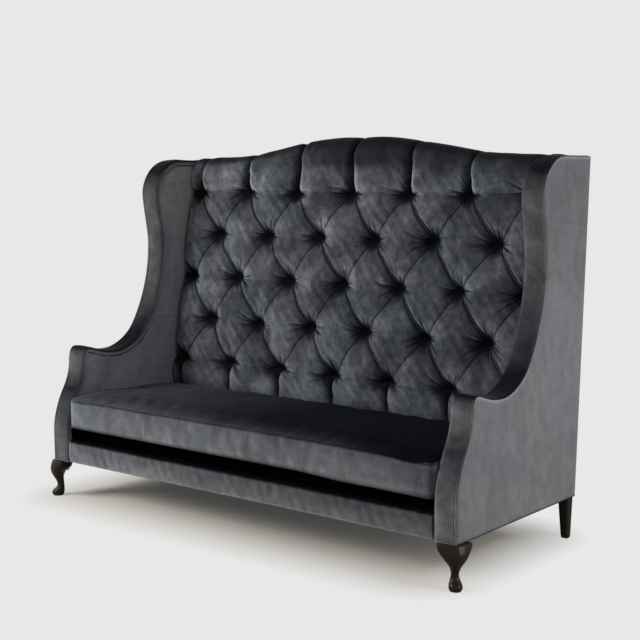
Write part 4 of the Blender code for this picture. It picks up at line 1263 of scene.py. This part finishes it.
class SETTEE_OT_inside_wings(bpy.types.Operator):
    """Makes the padded inside faces of the wings and arms"""

    bl_idname = "settee.inside_wings"
    bl_label = "Inside wings"

    def execute(self, context):
        edge = inset(*wing_outline(10), FRAME_INSET)
        bottom = DECK_TOP + 0.0006
        edge = edge[(edge[:, 1] > bottom) & (edge[:, 0] < button_depth(edge[:, 1]) + WING_PAD_BACK)]
        outline = [(edge[0][0], bottom)] + edge.tolist()
        outline += [(button_depth(z) + WING_PAD_BACK, z) for z in (edge[-1][1], bottom)]
        for label, side in SIDES:

            def place(spots, distances, face, side=side):
                y, z = spots.T
                if face:
                    x = np.full(len(spots), INNER_FACE + 0.030)
                else:
                    crown = 0.0045 * (1 - np.exp(-distances / 0.05))
                    rolled = 0.0003 * np.exp(-distances / 0.003)
                    crease = 0.0016 * ridge(z - 0.05 * (y - 0.6), 1.335, 0.006)
                    crease += 0.0020 * ridge(z + 0.10 * (y - 0.6), 0.735, 0.006)
                    slack = uneven(((0.0012, 41 + side, 0.12), (0.0005, 43 + side, 0.04)), y, z)
                    slack *= 1 - np.exp(-distances / 0.03)
                    x = INNER_FACE + 0.0015 - crown + rolled + crease + slack
                return np.stack([side * x, y, z], axis=1)

            # Painted light: the inside faces get a much brighter velvet, as if lit from the front like the
            # borders.
            material = velvet("velvet_wing", 1.60, mottled=0.4)
            piece = make_panel(f"inside_wing_pad_{label}", outline, 0.009, place, material)
            paint_shading(piece)
            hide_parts(f"inside_wing_{label}")
            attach(piece, SETTEE)
        return {"FINISHED"}


class SETTEE_OT_outside_wings(bpy.types.Operator):
    """Makes the covers of the outside wings and arms"""

    bl_idname = "settee.outside_wings"
    bl_label = "Outside wings"

    def execute(self, context):
        seam = inset(*wing_outline(10), SEAM_SETBACK)
        seam = seam[seam[:, 0] <= outside_back(seam[:, 1])]
        top = seam[-1][1]
        outline = seam.tolist()
        outline += [(outside_back(top) - 0.0005, top), (outside_back(BASE_HEIGHT), BASE_HEIGHT)]
        for label, side in SIDES:

            def place(spots, distances, face, side=side):
                y, z = spots.T
                if face:
                    x = np.full(len(spots), SKIN_FACE + 0.0004)
                else:
                    rolled = 0.0016 * np.exp(-distances / 0.004)
                    crease = 0.0010 * ridge(z + 0.10 * (y - 0.7), 1.19, 0.008) * rise(y, 0.55, 0.1)
                    slack = uneven(((0.0010, 51 + side, 0.20), (0.0004, 53 + side, 0.05)), y, z)
                    x = HALF_WIDTH - 0.0002 - rolled - crease + slack * (1 - np.exp(-distances / 0.04))
                return np.stack([side * x, y, z], axis=1)

            material = velvet("velvet_outside", 0.67, mottled=0.35)
            piece = make_panel(f"outside_wing_cover_{label}", outline, 0.010, place, material)
            # Painted shading by facing, and darker towards the top.
            paint_shading(piece, share=1 - 0.20 * rise(vertex_array(piece.data)[:, 2], 0.70, 0.60))
            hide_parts(f"outside_wing_{label}")
            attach(piece, SETTEE)
        return {"FINISHED"}


# Outside back, front border, deck and dust cover
class SETTEE_OT_outside_back(bpy.types.Operator):
    """Makes the cover of the outside back"""

    bl_idname = "settee.outside_back"
    bl_label = "Outside back"

    def execute(self, context):
        side = SKIN_FACE - 0.0003
        wing_top = WING_HEIGHT - FRAME_INSET
        step = INNER_FACE + 0.0003
        crest = [(x, float(crest_line(x)) - CREST_PAD - 0.0003) for x in np.linspace(step, -step, 90)]
        outline = [(side, BASE_HEIGHT), (side, wing_top), (step + 0.0003, wing_top)] + crest
        outline += [(-step - 0.0003, wing_top), (-side, wing_top), (-side, BASE_HEIGHT)]

        def place(spots, distances, face):
            x, z = spots.T
            if face:
                y = outside_back(z) - 0.0058
            else:
                rolled = 0.0040 * np.exp(-distances / 0.006)
                slack = uneven(((0.0012, 61, 0.25), (0.0004, 62, 0.06)), x, z)
                y = outside_back(z) - 0.0004 - rolled + slack * (1 - np.exp(-distances / 0.05))
            return np.stack([x, y, z], axis=1)

        material = velvet("velvet_outside", 0.67, mottled=0.35)
        piece = make_panel("outside_back_cover", outline, 0.014, place, material)
        # Painted shading by facing.
        paint_shading(piece)
        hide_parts("outside_back")
        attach(piece, SETTEE)
        return {"FINISHED"}


class SETTEE_OT_front_border(bpy.types.Operator):
    """Makes the padded border over the front rail"""

    bl_idname = "settee.front_border"
    bl_label = "Front border"

    def execute(self, context):
        low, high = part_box("front_border")
        bottom, top = low.z, high.z
        rail_low, rail_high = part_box("front_rail")
        rail_front, rail_back = depths(rail_low, rail_high)
        rail_front, rail_top = rail_front - 0.0003, rail_high.z + 0.0003
        foot = bottom + 0.009
        section = [(0.010, bottom), (0.005, bottom), (0.0015, bottom + 0.003), (0.0, foot)]
        for share in (0.15, 0.3, 0.45, 0.6, 0.75, 0.9):
            section.append((-0.003 * math.sin(math.pi * share), foot + (top - FRONT_ROLL - foot) * share))
        for angle in quarter_turn(6):
            section.append((FRONT_ROLL * (1 - math.cos(angle)), top - FRONT_ROLL * (1 - math.sin(angle))))
        section += [(0.030, top), (rail_back, top), (rail_back, rail_top)]
        section += [(rail_front, rail_top), (rail_front, bottom)]
        waves = ((0.0011, 71, 0.13), (0.0006, 72, 0.035))
        rings = []
        for x in np.linspace(-high.x, high.x, 260):
            rings.append([(x, y + (uneven(waves, x, z) if y < 0.012 else 0.0), z) for y, z in section])
        piece = loft("padded_front_border", rings, velvet("velvet_front", 0.74, mottled=0.6, shine=0.0))
        piece.data.update()
        # Painted shade on the border's top faces, which look up.
        paint_shading(piece, share=1 - 0.97 * rise(vertex_array(piece.data, "normal")[:, 2], 0.30, 0.45))
        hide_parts("front_border")
        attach(piece, SETTEE)
        return {"FINISHED"}


class SETTEE_OT_deck(bpy.types.Operator):
    """Makes the platform that the cushion lies on, of black cloth painted darker still as the shade in its
    recess
    """

    bl_idname = "settee.deck"
    bl_label = "Seat deck"

    def execute(self, context):
        low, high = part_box("seat_deck")
        front, back = depths(low, high)
        upright = high.z - low.z - 2 * DECK_EDGE
        section = [(front + DECK_EDGE, low.z), (front + 0.002, low.z + 0.002), (front, low.z + DECK_EDGE)]
        for index in (1, 2):
            section.append((front + 0.001 * math.sin(index), low.z + DECK_EDGE + upright * index / 3))
        for angle in quarter_turn(5):
            inwards, down = DECK_EDGE * (1 - math.cos(angle)), DECK_EDGE * (1 - math.sin(angle))
            section.append((front + inwards, high.z - down))
        section += [(front + (back - front) * share, high.z) for share in np.linspace(0.08, 1.0, 24)]
        section.append((back, low.z))
        rings = []
        for x in np.linspace(low.x, high.x, 160):
            ring = []
            for y, z in section:
                sags = z > high.z - 1e-6 and y < back - 0.01
                ring.append((x, y, z - (0.0012 * (1 + ripple(81, 0.09, x, y)) if sags else 0.0)))
            rings.append(ring)
        # The cloth is nearly black: partly its own black, partly painted shade in the recess under the
        # cushion.
        material = woven_cloth("platform_cloth", context.scene.settee_finish.platform_cloth, 0.0012)
        piece = loft("deck_pad", rings, material)
        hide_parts("seat_deck")
        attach(piece, SETTEE)
        return {"FINISHED"}


def staple():
    """A flattened staple crown with its two legs turned down, facing -Z."""
    bm = bmesh.new()
    leg = (0.0012, STAPLE_WIRE * 1.5, 0.003)
    bars = ((0, 0, STAPLE_WIDTH, STAPLE_WIRE), (-STAPLE_WIDTH / 2, *leg), (STAPLE_WIDTH / 2, *leg))
    for x, z, size_x, size_z in bars:
        verts = bmesh.ops.create_cube(bm, size=1.0)["verts"]
        bmesh.ops.scale(bm, verts=verts, vec=(size_x, STAPLE_WIRE * 1.6, size_z))
        bmesh.ops.translate(bm, verts=verts, vec=(x, 0, z))
    return make_part("staple", bm)


def staple_places(low, high):
    """Where the staples stand round the dust cover, clear of the legs, and how each one is turned."""
    front, back = depths(low, high)
    left, right = low.x + STAPLE_MARGIN, high.x - STAPLE_MARGIN
    first, last = front + STAPLE_MARGIN, back - STAPLE_MARGIN
    height = low.z - 0.0002
    found = []
    for number in range(STAPLES_ALONG):
        x = left + (right - left) * number / (STAPLES_ALONG - 1)
        found += [((x, y, height), (0.0, 0.0, 0.06 * math.sin(number * 2.3))) for y in (first, last)]
    for number in range(1, STAPLES_ACROSS + 1):
        y = first + (last - first) * number / (STAPLES_ACROSS + 1)
        turn = math.pi / 2 + 0.06 * math.sin(number * 1.7)
        found += [((x, y, height), (0.0, 0.0, turn)) for x in (left, right)]
    clear = [abs(abs(x) - 1.0) > 0.07 or 0.09 < y < 0.74 for (x, y, _), _ in found]
    return zip(*[pair for pair, stands in zip(found, clear) if stands])


def cover_mesh(low, high):
    """The dust cover's thin cloth, which sags a little between its staples."""
    front, back = depths(low, high)
    columns, rows = 120, 56
    x, y = np.meshgrid(np.linspace(low.x, high.x, columns), np.linspace(front, back, rows))
    x, y = x.ravel(), y.ravel()
    margin = np.minimum(np.minimum(x - low.x, high.x - x), np.minimum(y - front, back - y))
    slack = rise(margin, 0.02, 0.16)
    sag = 0.0035 * slack * (1 + 0.5 * ripple(91, 0.2, x, y)) + 0.0006 * ripple(92, 0.03, x, y) * slack
    under = np.stack([x, y, low.z + 0.0004 - sag], axis=1)
    flat = grid_faces(rows, columns)
    count = rows * columns
    faces = flat + [tuple(index + count for index in reversed(face)) for face in flat]
    border = list(range(columns))
    border += [row * columns + columns - 1 for row in range(1, rows)]
    border += [(rows - 1) * columns + column for column in range(columns - 2, -1, -1)]
    border += [row * columns for row in range(rows - 2, 0, -1)]
    faces += [(start, end, end + count, start + count) for start, end in zip(border, border[1:] + border[:1])]
    return mesh_from("dust_cover_cloth", np.vstack([under, under + np.array([0, 0, 0.0012])]), faces)


class SETTEE_OT_dust_cover(bpy.types.Operator):
    """Makes the stapled dust cover under the seat"""

    bl_idname = "settee.dust_cover"
    bl_label = "Dust cover"

    def execute(self, context):
        low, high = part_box("dust_cover")
        material = woven_cloth("dust_cover_cloth", context.scene.settee_finish.platform_cloth, 0.0016)
        piece = make_piece("dust_cover_cloth", cover_mesh(low, high), material)
        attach(piece, SETTEE)
        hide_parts("dust_cover")

        spots, turns = staple_places(low, high)
        steel = bpy.data.materials["spring_steel"]
        staples = scatter("dust_cover_staples", staple(), spots, turns, steel, SETTEE)
        return {"FINISHED"}


# Loose seat cushion
def settle(piece, pinned, pressure, cap, shrink):
    """Blows the cover up like a filled cushion, held at its seams; no point moves further than the cap."""
    start = vertex_array(piece.data)
    group = piece.vertex_groups.new(name="seams")
    group.add(np.nonzero(pinned)[0].tolist(), 1.0, "REPLACE")
    cloth = piece.modifiers.new("filling", "CLOTH")
    settings = cloth.settings
    settings.quality = 5
    settings.mass = 0.3
    settings.tension_stiffness = settings.compression_stiffness = 12
    settings.shear_stiffness = 6
    settings.bending_stiffness = 5.0
    settings.use_pressure = True
    settings.uniform_pressure_force = pressure
    settings.shrink_min = -shrink
    settings.vertex_group_mass = "seams"
    settings.effector_weights.gravity = 0.0
    cloth.collision_settings.use_collision = False
    cloth.point_cache.frame_start, cloth.point_cache.frame_end = 1, FILLING_FRAMES
    scene = bpy.context.scene
    for number in range(1, FILLING_FRAMES + 1):
        scene.frame_set(number)
    apply_modifiers(piece)
    scene.frame_set(1)
    moved = vertex_array(piece.data) - start
    length = np.linalg.norm(moved, axis=1)
    moved *= (np.minimum(length, cap) / np.maximum(length, 1e-9))[:, None]
    move_points(piece.data, start + moved)


def front_hang(x):
    """How far the cushion's front edge hangs over the deck."""
    return 0.010 * rise(x, 0.30, 0.28) + 0.003 * rise(x, 0.70, 0.2)


def upper_edge(across, along, half):
    """Height of the cushion's upper edge: crowned over its front, raised at its corners and its left end."""
    edge = CUSHION_EDGE + CUSHION_FRONT_CROWN * (1 - across**4) + 0.014 * (1 - along**2) * across**4
    edge -= CUSHION_FRONT_CROWN / 2 * float(smooth_step(along / 2 + 0.5)) * (1 - across**4)
    edge += 0.008 * math.exp(-(((1 - abs(across)) * half / 0.05) ** 2)) * float(fall(along, -0.3, 0.6))
    return edge + 0.010 * float(fall(across, -0.45, 0.5)) * float(fall(along, 0.2, 0.8))


def cushion_box():
    """Points and faces of the cushion's cover, the points' places in its box, and its upper seam."""
    low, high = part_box("seat_cushion")
    half = high.x
    front, back = depths(low, high)
    front += 0.001
    middle, reach = (front + back) / 2, (back - front) / 2
    columns, rows, levels = CUSHION_COLUMNS, CUSHION_ROWS, CUSHION_LEVELS
    numbers, points, spots = {}, [], []

    def add(i, j, k):
        if (i, j, k) in numbers:
            return numbers[i, j, k]
        across, along = 2 * i / columns - 1, 2 * j / rows - 1
        x, y = across * half, middle + along * reach
        # Corners are turned on a small radius.
        beyond_x, beyond_y = abs(x) - (half - CUSHION_CORNER), abs(y - middle) - (reach - CUSHION_CORNER)
        if beyond_x > 0 and beyond_y > 0:
            scale = max(beyond_x, beyond_y) / math.hypot(beyond_x, beyond_y)
            x = math.copysign(half - CUSHION_CORNER + beyond_x * scale, x)
            y = middle + math.copysign(reach - CUSHION_CORNER + beyond_y * scale, along)
        edge = upper_edge(across, along, half)
        seam = edge - SEAM_DROP - 0.0012 * ripple(105, 0.08, x, y)
        hang = float(front_hang(x) * fall(y, DECK_FRONT - 0.004, 0.03))
        if k <= SEAM_LEVEL:
            share = k / SEAM_LEVEL
            z = seam * share - hang * (1 - share)
            shrink = 0.0
            bulge = 0.003 * math.sin(math.pi * share) - 0.0035 * (share == 1) - 0.007 * (share == 0)
            x += math.copysign(bulge, x) * (abs(across) > 0.999)
            y += math.copysign(bulge, along) * (abs(along) > 0.999)
        else:
            angle = math.radians(84) * (k - SEAM_LEVEL) / (levels - SEAM_LEVEL)
            shrink = SEAM_DROP * 0.9 * (1 - math.cos(angle))
            z = seam + (edge - seam) * math.sin(angle)
        if k == levels:
            z += CUSHION_CROWN * (1 - across**4) * (1 - along**4)
        x, y = x * (1 - shrink / half), middle + (y - middle) * (1 - shrink / reach)
        numbers[i, j, k] = len(points)
        points.append((x, y, low.z + z))
        spots.append((across, along, k / levels))
        return numbers[i, j, k]

    faces = []
    for k in (0, levels):
        for i in range(columns):
            for j in range(rows):
                faces.append((add(i, j, k), add(i + 1, j, k), add(i + 1, j + 1, k), add(i, j + 1, k)))
    for k in range(levels):
        for i in range(columns):
            for j in (0, rows):
                faces.append((add(i, j, k), add(i + 1, j, k), add(i + 1, j, k + 1), add(i, j, k + 1)))
        for j in range(rows):
            for i in (0, columns):
                faces.append((add(i, j, k), add(i, j + 1, k), add(i, j + 1, k + 1), add(i, j, k + 1)))
    rim = [(i, 0) for i in range(columns)] + [(columns, j) for j in range(rows)]
    rim += [(i, rows) for i in range(columns, 0, -1)] + [(0, j) for j in range(rows, 0, -1)]
    return np.array(points), faces, np.array(spots), [numbers[i, j, SEAM_LEVEL] for i, j in rim]


def cushion_painted_shading(mesh, low):
    """Painted shading of the cushion: painted light on its left end and front edge and lighter towards its
    right, painted shade along its foot.
    """
    x, y, z = vertex_array(mesh).T
    upright = 1 - rise(np.abs(vertex_array(mesh, "normal")[:, 2]), 0.45, 0.3)
    # Painted shade along the foot of the cover, where its rolled lower edge turns away from the light.
    foot = 1 - 0.93 * smooth_step(1 - (z - low.z + front_hang(x)) / 0.020)
    lighter = 0.93 + 0.12 * rise(x, -0.8, 0.8) + 0.18 * rise(x, 0.20, 0.35)
    lit_end = 0.09 * fall(x, 0.25, 1.1)
    lit_front = 0.10 * np.exp(-np.maximum(y - low.y - 0.01, 0) / 0.030) * (1 - rise(x, 0.35, 0.45))
    return {"share": lighter * foot, "floor": (lit_end + lit_front) * foot, "slope": 0.80 - 0.50 * upright}


class SETTEE_OT_cushion(bpy.types.Operator):
    """Makes the loose seat cushion with its seam"""

    bl_idname = "settee.cushion"
    bl_label = "Seat cushion"

    def execute(self, context):
        points, faces, spots, seam = cushion_box()
        _, along, share = spots.T
        material = velvet("velvet_seat", 0.82, mottled=0.55, shine=0.01, cool=0.8)
        piece = make_piece("seat_cushion_cover", mesh_from("seat_cushion_cover", points, faces), material)
        pinned = share < 0.001
        pinned[seam] = True
        settle(piece, pinned, pressure=4.0, cap=0.010, shrink=0.004)
        places = vertex_array(piece.data)
        places[:, 1] -= DEPTH_SHIFT
        x, y, z = places.T
        places[:, 2] += np.where(share > 0.999, uneven(((0.0016, 101, 0.17), (0.0007, 102, 0.05)), x, y), 0)
        boxing = (share > 0.001) & (share < 0.74) & (np.abs(along) > 0.999)
        out = 0.0010 * ripple(103, 0.05, x + y, z * 0.5) + 0.0012 * ripple(104, 0.14, x + y, z)
        places[:, 1] += np.where(boxing, out * np.sin(math.pi * share / 0.75) * np.sign(along), 0)
        move_points(piece.data, shifted(places))
        subdivide(piece)
        piece.data.shade_smooth()
        piece.data.update()
        paint_shading(piece, **cushion_painted_shading(piece.data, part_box("seat_cushion")[0]))
        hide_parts("seat_cushion")
        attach(piece, LOOSE)
        make_welt("cushion_seam", points[seam], True, context.scene.settee_sizes.welt_radius, LOOSE)
        return {"FINISHED"}


# Legs
def smooth_curve(places, values, at):
    """Smooth curve through values at rising places."""
    slopes = np.gradient(values, places)
    index = np.clip(np.searchsorted(places, at, side="right") - 1, 0, len(places) - 2)
    gap = places[index + 1] - places[index]
    t = (at - places[index]) / gap
    return (
        (2 * t**3 - 3 * t**2 + 1) * values[index]
        + (t**3 - 2 * t**2 + t) * gap * slopes[index]
        + (-2 * t**3 + 3 * t**2) * values[index + 1]
        + (t**3 - t**2) * gap * slopes[index + 1]
    )


class SETTEE_OT_front_legs(bpy.types.Operator):
    """Makes the cabriole front legs"""

    bl_idname = "settee.front_legs"
    bl_label = "Front legs"

    def execute(self, context):
        material = grained_wood("leg_wood", context.scene.settee_finish.leg_wood, 2, 0.30, 0.05)
        table = np.array(CABRIOLE)[::-1]
        heights = np.linspace(0, 1, 72)
        curves = [smooth_curve(table[:, 0], table[:, column], heights) for column in range(1, 5)]
        for label, side in SIDES:
            corner = np.array([side * HALF_WIDTH, -ARM_BELLY])
            out = np.array([side, -1.0]) / math.sqrt(2)
            across = np.array([-out[1], out[0]])
            rings = []
            for height, reach_out, reach_in, width, squareness in zip(heights, *curves):
                centre = corner + out * (reach_out - reach_in) / 2
                depth = (reach_out + reach_in) / 2
                ring = []
                for angle in np.linspace(0, 2 * math.pi, 56, endpoint=False):
                    cos, sin = math.cos(angle), math.sin(angle)
                    length = (abs(cos) ** squareness + abs(sin) ** squareness) ** (-1 / squareness)
                    x, y = centre + out * (depth * cos * length) + across * (width / 2 * sin * length)
                    ring.append((x, y, LEG_HEIGHT * height))
                rings.append(ring)
            piece = loft(f"cabriole_leg_{label}", rings, material)
            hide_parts(f"front_leg_{label}")
            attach(piece, SETTEE)
        return {"FINISHED"}


class SETTEE_OT_back_legs(bpy.types.Operator):
    """Makes the square tapered back legs"""

    bl_idname = "settee.back_legs"
    bl_label = "Back legs"

    def execute(self, context):
        material = bpy.data.materials["leg_wood"]
        for label, side in SIDES:
            low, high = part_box(f"back_leg_{label}")
            front = low.y - DEPTH_SHIFT
            top = high.y - low.y
            foot = top * BACK_LEG_TAPER
            rings = []
            for share in np.linspace(0, 1, 12):
                size = foot + (top - foot) * share - (BACK_LEG_CHAMFER if share == 0 else 0)
                left = low.x if side < 0 else high.x - size
                near, far = BACK_LEG_EDGE, size - BACK_LEG_EDGE
                ring = []
                for x, y, turn in ((near, near, 180), (far, near, 270), (far, far, 0), (near, far, 90)):
                    for angle in (math.radians(turn + 30 * step) for step in range(4)):
                        cos, sin = BACK_LEG_EDGE * math.cos(angle), BACK_LEG_EDGE * math.sin(angle)
                        ring.append((left + x + cos, front + y + sin, high.z * share))
                rings.append(ring)
            piece = loft(f"tapered_leg_{label}", rings, material)
            piece.data.set_sharp_from_angle(angle=SHARP_ANGLE)
            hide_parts(f"back_leg_{label}")
            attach(piece, SETTEE)
        return {"FINISHED"}


# Hidden frame
class SETTEE_OT_frame(bpy.types.Operator):
    """Gives the frame, springs, webbing and bolts their materials"""

    bl_idname = "settee.frame"
    bl_label = "Hidden frame"

    def execute(self, context):
        wood = context.scene.settee_finish.frame_wood
        looks = {
            "frame_wood": [grained_wood(f"frame_wood_{axis}", wood, axis, 0.66, 0.0) for axis in range(3)],
            "steel": [drawn_steel("spring_steel")] * 3,
            "jute": [woven_cloth("jute_web", (0.36, 0.27, 0.16), 0.0022)] * 3,
        }
        for entry in frame["record"]["subparts"]:
            if entry["material_slot"] in looks:
                low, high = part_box(entry["node"])
                lengths = list(high - low)
                solid = frame["nodes"][entry["node"]]
                solid.data.materials.clear()
                solid.data.materials.append(looks[entry["material_slot"]][lengths.index(max(lengths))])
        return {"FINISHED"}


# Studio
def area_light(name, place, target, size, power):
    data = bpy.data.lights.new(name, "AREA")
    data.shape = "RECTANGLE"
    data.size, data.size_y = size
    data.energy = power
    lamp = add_object(name, data)
    lamp.location = place
    lamp.rotation_euler = (Vector(target) - Vector(place)).to_track_quat("-Z", "Y").to_euler()


class SETTEE_OT_studio(bpy.types.Operator):
    """Sets the pale studio, its lights and the camera"""

    bl_idname = "settee.studio"
    bl_label = "Studio"

    def execute(self, context):
        studio = context.scene.settee_studio
        self.floor(studio)
        self.world(studio)
        area_light("key", (-3.2, -3.4, 2.7), (0, 0.1, 0.8), (2.4, 2.0), studio.key_power)
        area_light("side", (3.8, 0.3, 1.3), (1.0, 0.0, 0.75), (1.4, 1.8), studio.side_power)

        camera = add_object("camera", bpy.data.cameras.new("camera"))
        camera.data.lens = studio.lens
        camera.data.sensor_width = 36.0
        yaw, pitch, roll = (math.radians(angle) for angle in CAMERA_TURNS)
        ahead = Vector((-math.sin(yaw) * math.cos(pitch), math.cos(yaw) * math.cos(pitch), -math.sin(pitch)))
        right = ahead.cross(Vector((0, 0, 1))).normalized()
        up = right.cross(ahead)
        right, up = right * math.cos(roll) + up * math.sin(roll), up * math.cos(roll) - right * math.sin(roll)
        axes = Matrix((right, up, -ahead)).transposed().to_4x4()
        camera.matrix_world = Matrix.Translation(CAMERA_PLACE) @ axes
        context.scene.camera = camera
        context.scene.view_settings.view_transform = "Standard"
        return {"FINISHED"}

    def floor(self, studio):
        """A floor that is as bright as the backdrop, with a soft shade round the settee."""
        points = [(0, 0, 0)]
        for radius in FLOOR_RINGS:
            angles = np.linspace(0, 2 * math.pi, FLOOR_SECTORS, endpoint=False)
            points += [(radius * math.cos(angle), radius * math.sin(angle), 0) for angle in angles]
        faces = [(0, 1 + index, 1 + (index + 1) % FLOOR_SECTORS) for index in range(FLOOR_SECTORS)]
        for quad in grid_faces(len(FLOOR_RINGS), FLOOR_SECTORS, closed=True):
            faces.append(tuple(1 + index for index in reversed(quad)))
        mesh = bpy.data.meshes.new("studio_floor")
        mesh.from_pydata(points, [], faces)

        material, tree, shader, beyond = new_material("studio_floor")
        tree.nodes.remove(shader)
        steps = (
            ("ADD", SHADOW_OFFSET),
            ("ABSOLUTE", None),
            ("SUBTRACT", SHADOW_HALF),
            ("MAXIMUM", (0, 0, 0)),
        )
        for operation, amount in steps:
            inputs = {0: beyond} if amount is None else {0: beyond, 1: amount}
            beyond = flow(tree, "ShaderNodeVectorMath", inputs, operation=operation)
        distance = node(tree, "ShaderNodeVectorMath", {0: beyond}, operation="LENGTH").outputs["Value"]
        far = level(tree, distance, 0.0, SHADOW_REACH, 0.055, 1.0)
        shade = tuple(channel * warm for channel, warm in zip(studio.backdrop, SHADOW_WARMTH))
        lit = flow(tree, "ShaderNodeBsdfDiffuse", {"Color": opaque(shade)})
        plain = flow(tree, "ShaderNodeEmission", {"Color": opaque(studio.backdrop), "Strength": 1.0})
        seen = node(tree, "ShaderNodeLightPath").outputs["Is Camera Ray"]
        share = calculate(tree, "MULTIPLY", far, seen)
        mixed = flow(tree, "ShaderNodeMixShader", {0: share, 1: lit, 2: plain})
        tree.links.new(mixed, tree.nodes["Material Output"].inputs["Surface"])
        floor = make_piece("studio_floor", mesh, material, smooth=False)

    def world(self, studio):
        """A backdrop of one colour that the camera sees, and an even light that it doesn't."""
        world = bpy.data.worlds.new("studio")
        bpy.context.scene.world = world
        world.use_nodes = True
        tree = world.node_tree
        shown = tree.nodes["Background"]
        shown.inputs["Color"].default_value = opaque(studio.backdrop)
        lit = flow(tree, "ShaderNodeBackground", {"Color": (1, 1, 1, 1), "Strength": studio.world_light})
        path = node(tree, "ShaderNodeLightPath")
        seen = calculate(tree, "MAXIMUM", path.outputs["Is Camera Ray"], path.outputs["Is Glossy Ray"])
        mixed = flow(tree, "ShaderNodeMixShader", {0: seen, 1: lit, 2: shown.outputs[0]})
        tree.links.new(mixed, tree.nodes["World Output"].inputs["Surface"])


OPERATORS = (
    SETTEE_OT_frame,
    SETTEE_OT_back,
    SETTEE_OT_buttons,
    SETTEE_OT_borders,
    SETTEE_OT_inside_wings,
    SETTEE_OT_outside_wings,
    SETTEE_OT_outside_back,
    SETTEE_OT_front_border,
    SETTEE_OT_deck,
    SETTEE_OT_dust_cover,
    SETTEE_OT_cushion,
    SETTEE_OT_front_legs,
    SETTEE_OT_back_legs,
    SETTEE_OT_studio,
)


class SETTEE_PT_panel(bpy.types.Panel):
    """Sizes, colours and steps of the settee"""

    bl_label = "Settee"
    bl_idname = "SETTEE_PT_panel"
    bl_space_type = "VIEW_3D"
    bl_region_type = "UI"
    bl_category = "Settee"

    def draw(self, context):
        for title, group in (
            ("Sizes", context.scene.settee_sizes),
            ("Finish", context.scene.settee_finish),
            ("Studio", context.scene.settee_studio),
        ):
            box = self.layout.box()
            box.label(text=title)
            for field in group.__annotations__:
                box.prop(group, field)
        for operator in OPERATORS:
            self.layout.operator(operator.bl_idname)


GROUPS = (SetteeSizes, SetteeFinish, SetteeStudio)
CLASSES = GROUPS + OPERATORS + (SETTEE_PT_panel,)


def register():
    for item in CLASSES:
        bpy.utils.register_class(item)
    bpy.types.Scene.settee_sizes = PointerProperty(type=SetteeSizes)
    bpy.types.Scene.settee_finish = PointerProperty(type=SetteeFinish)
    bpy.types.Scene.settee_studio = PointerProperty(type=SetteeStudio)


def unregister():
    del bpy.types.Scene.settee_studio
    del bpy.types.Scene.settee_finish
    del bpy.types.Scene.settee_sizes
    for item in reversed(CLASSES):
        bpy.utils.unregister_class(item)


def main():
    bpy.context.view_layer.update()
    register()
    for operator in OPERATORS:
        getattr(bpy.ops.settee, operator.bl_idname.split(".")[1])()


if __name__ == "__main__":
    main()
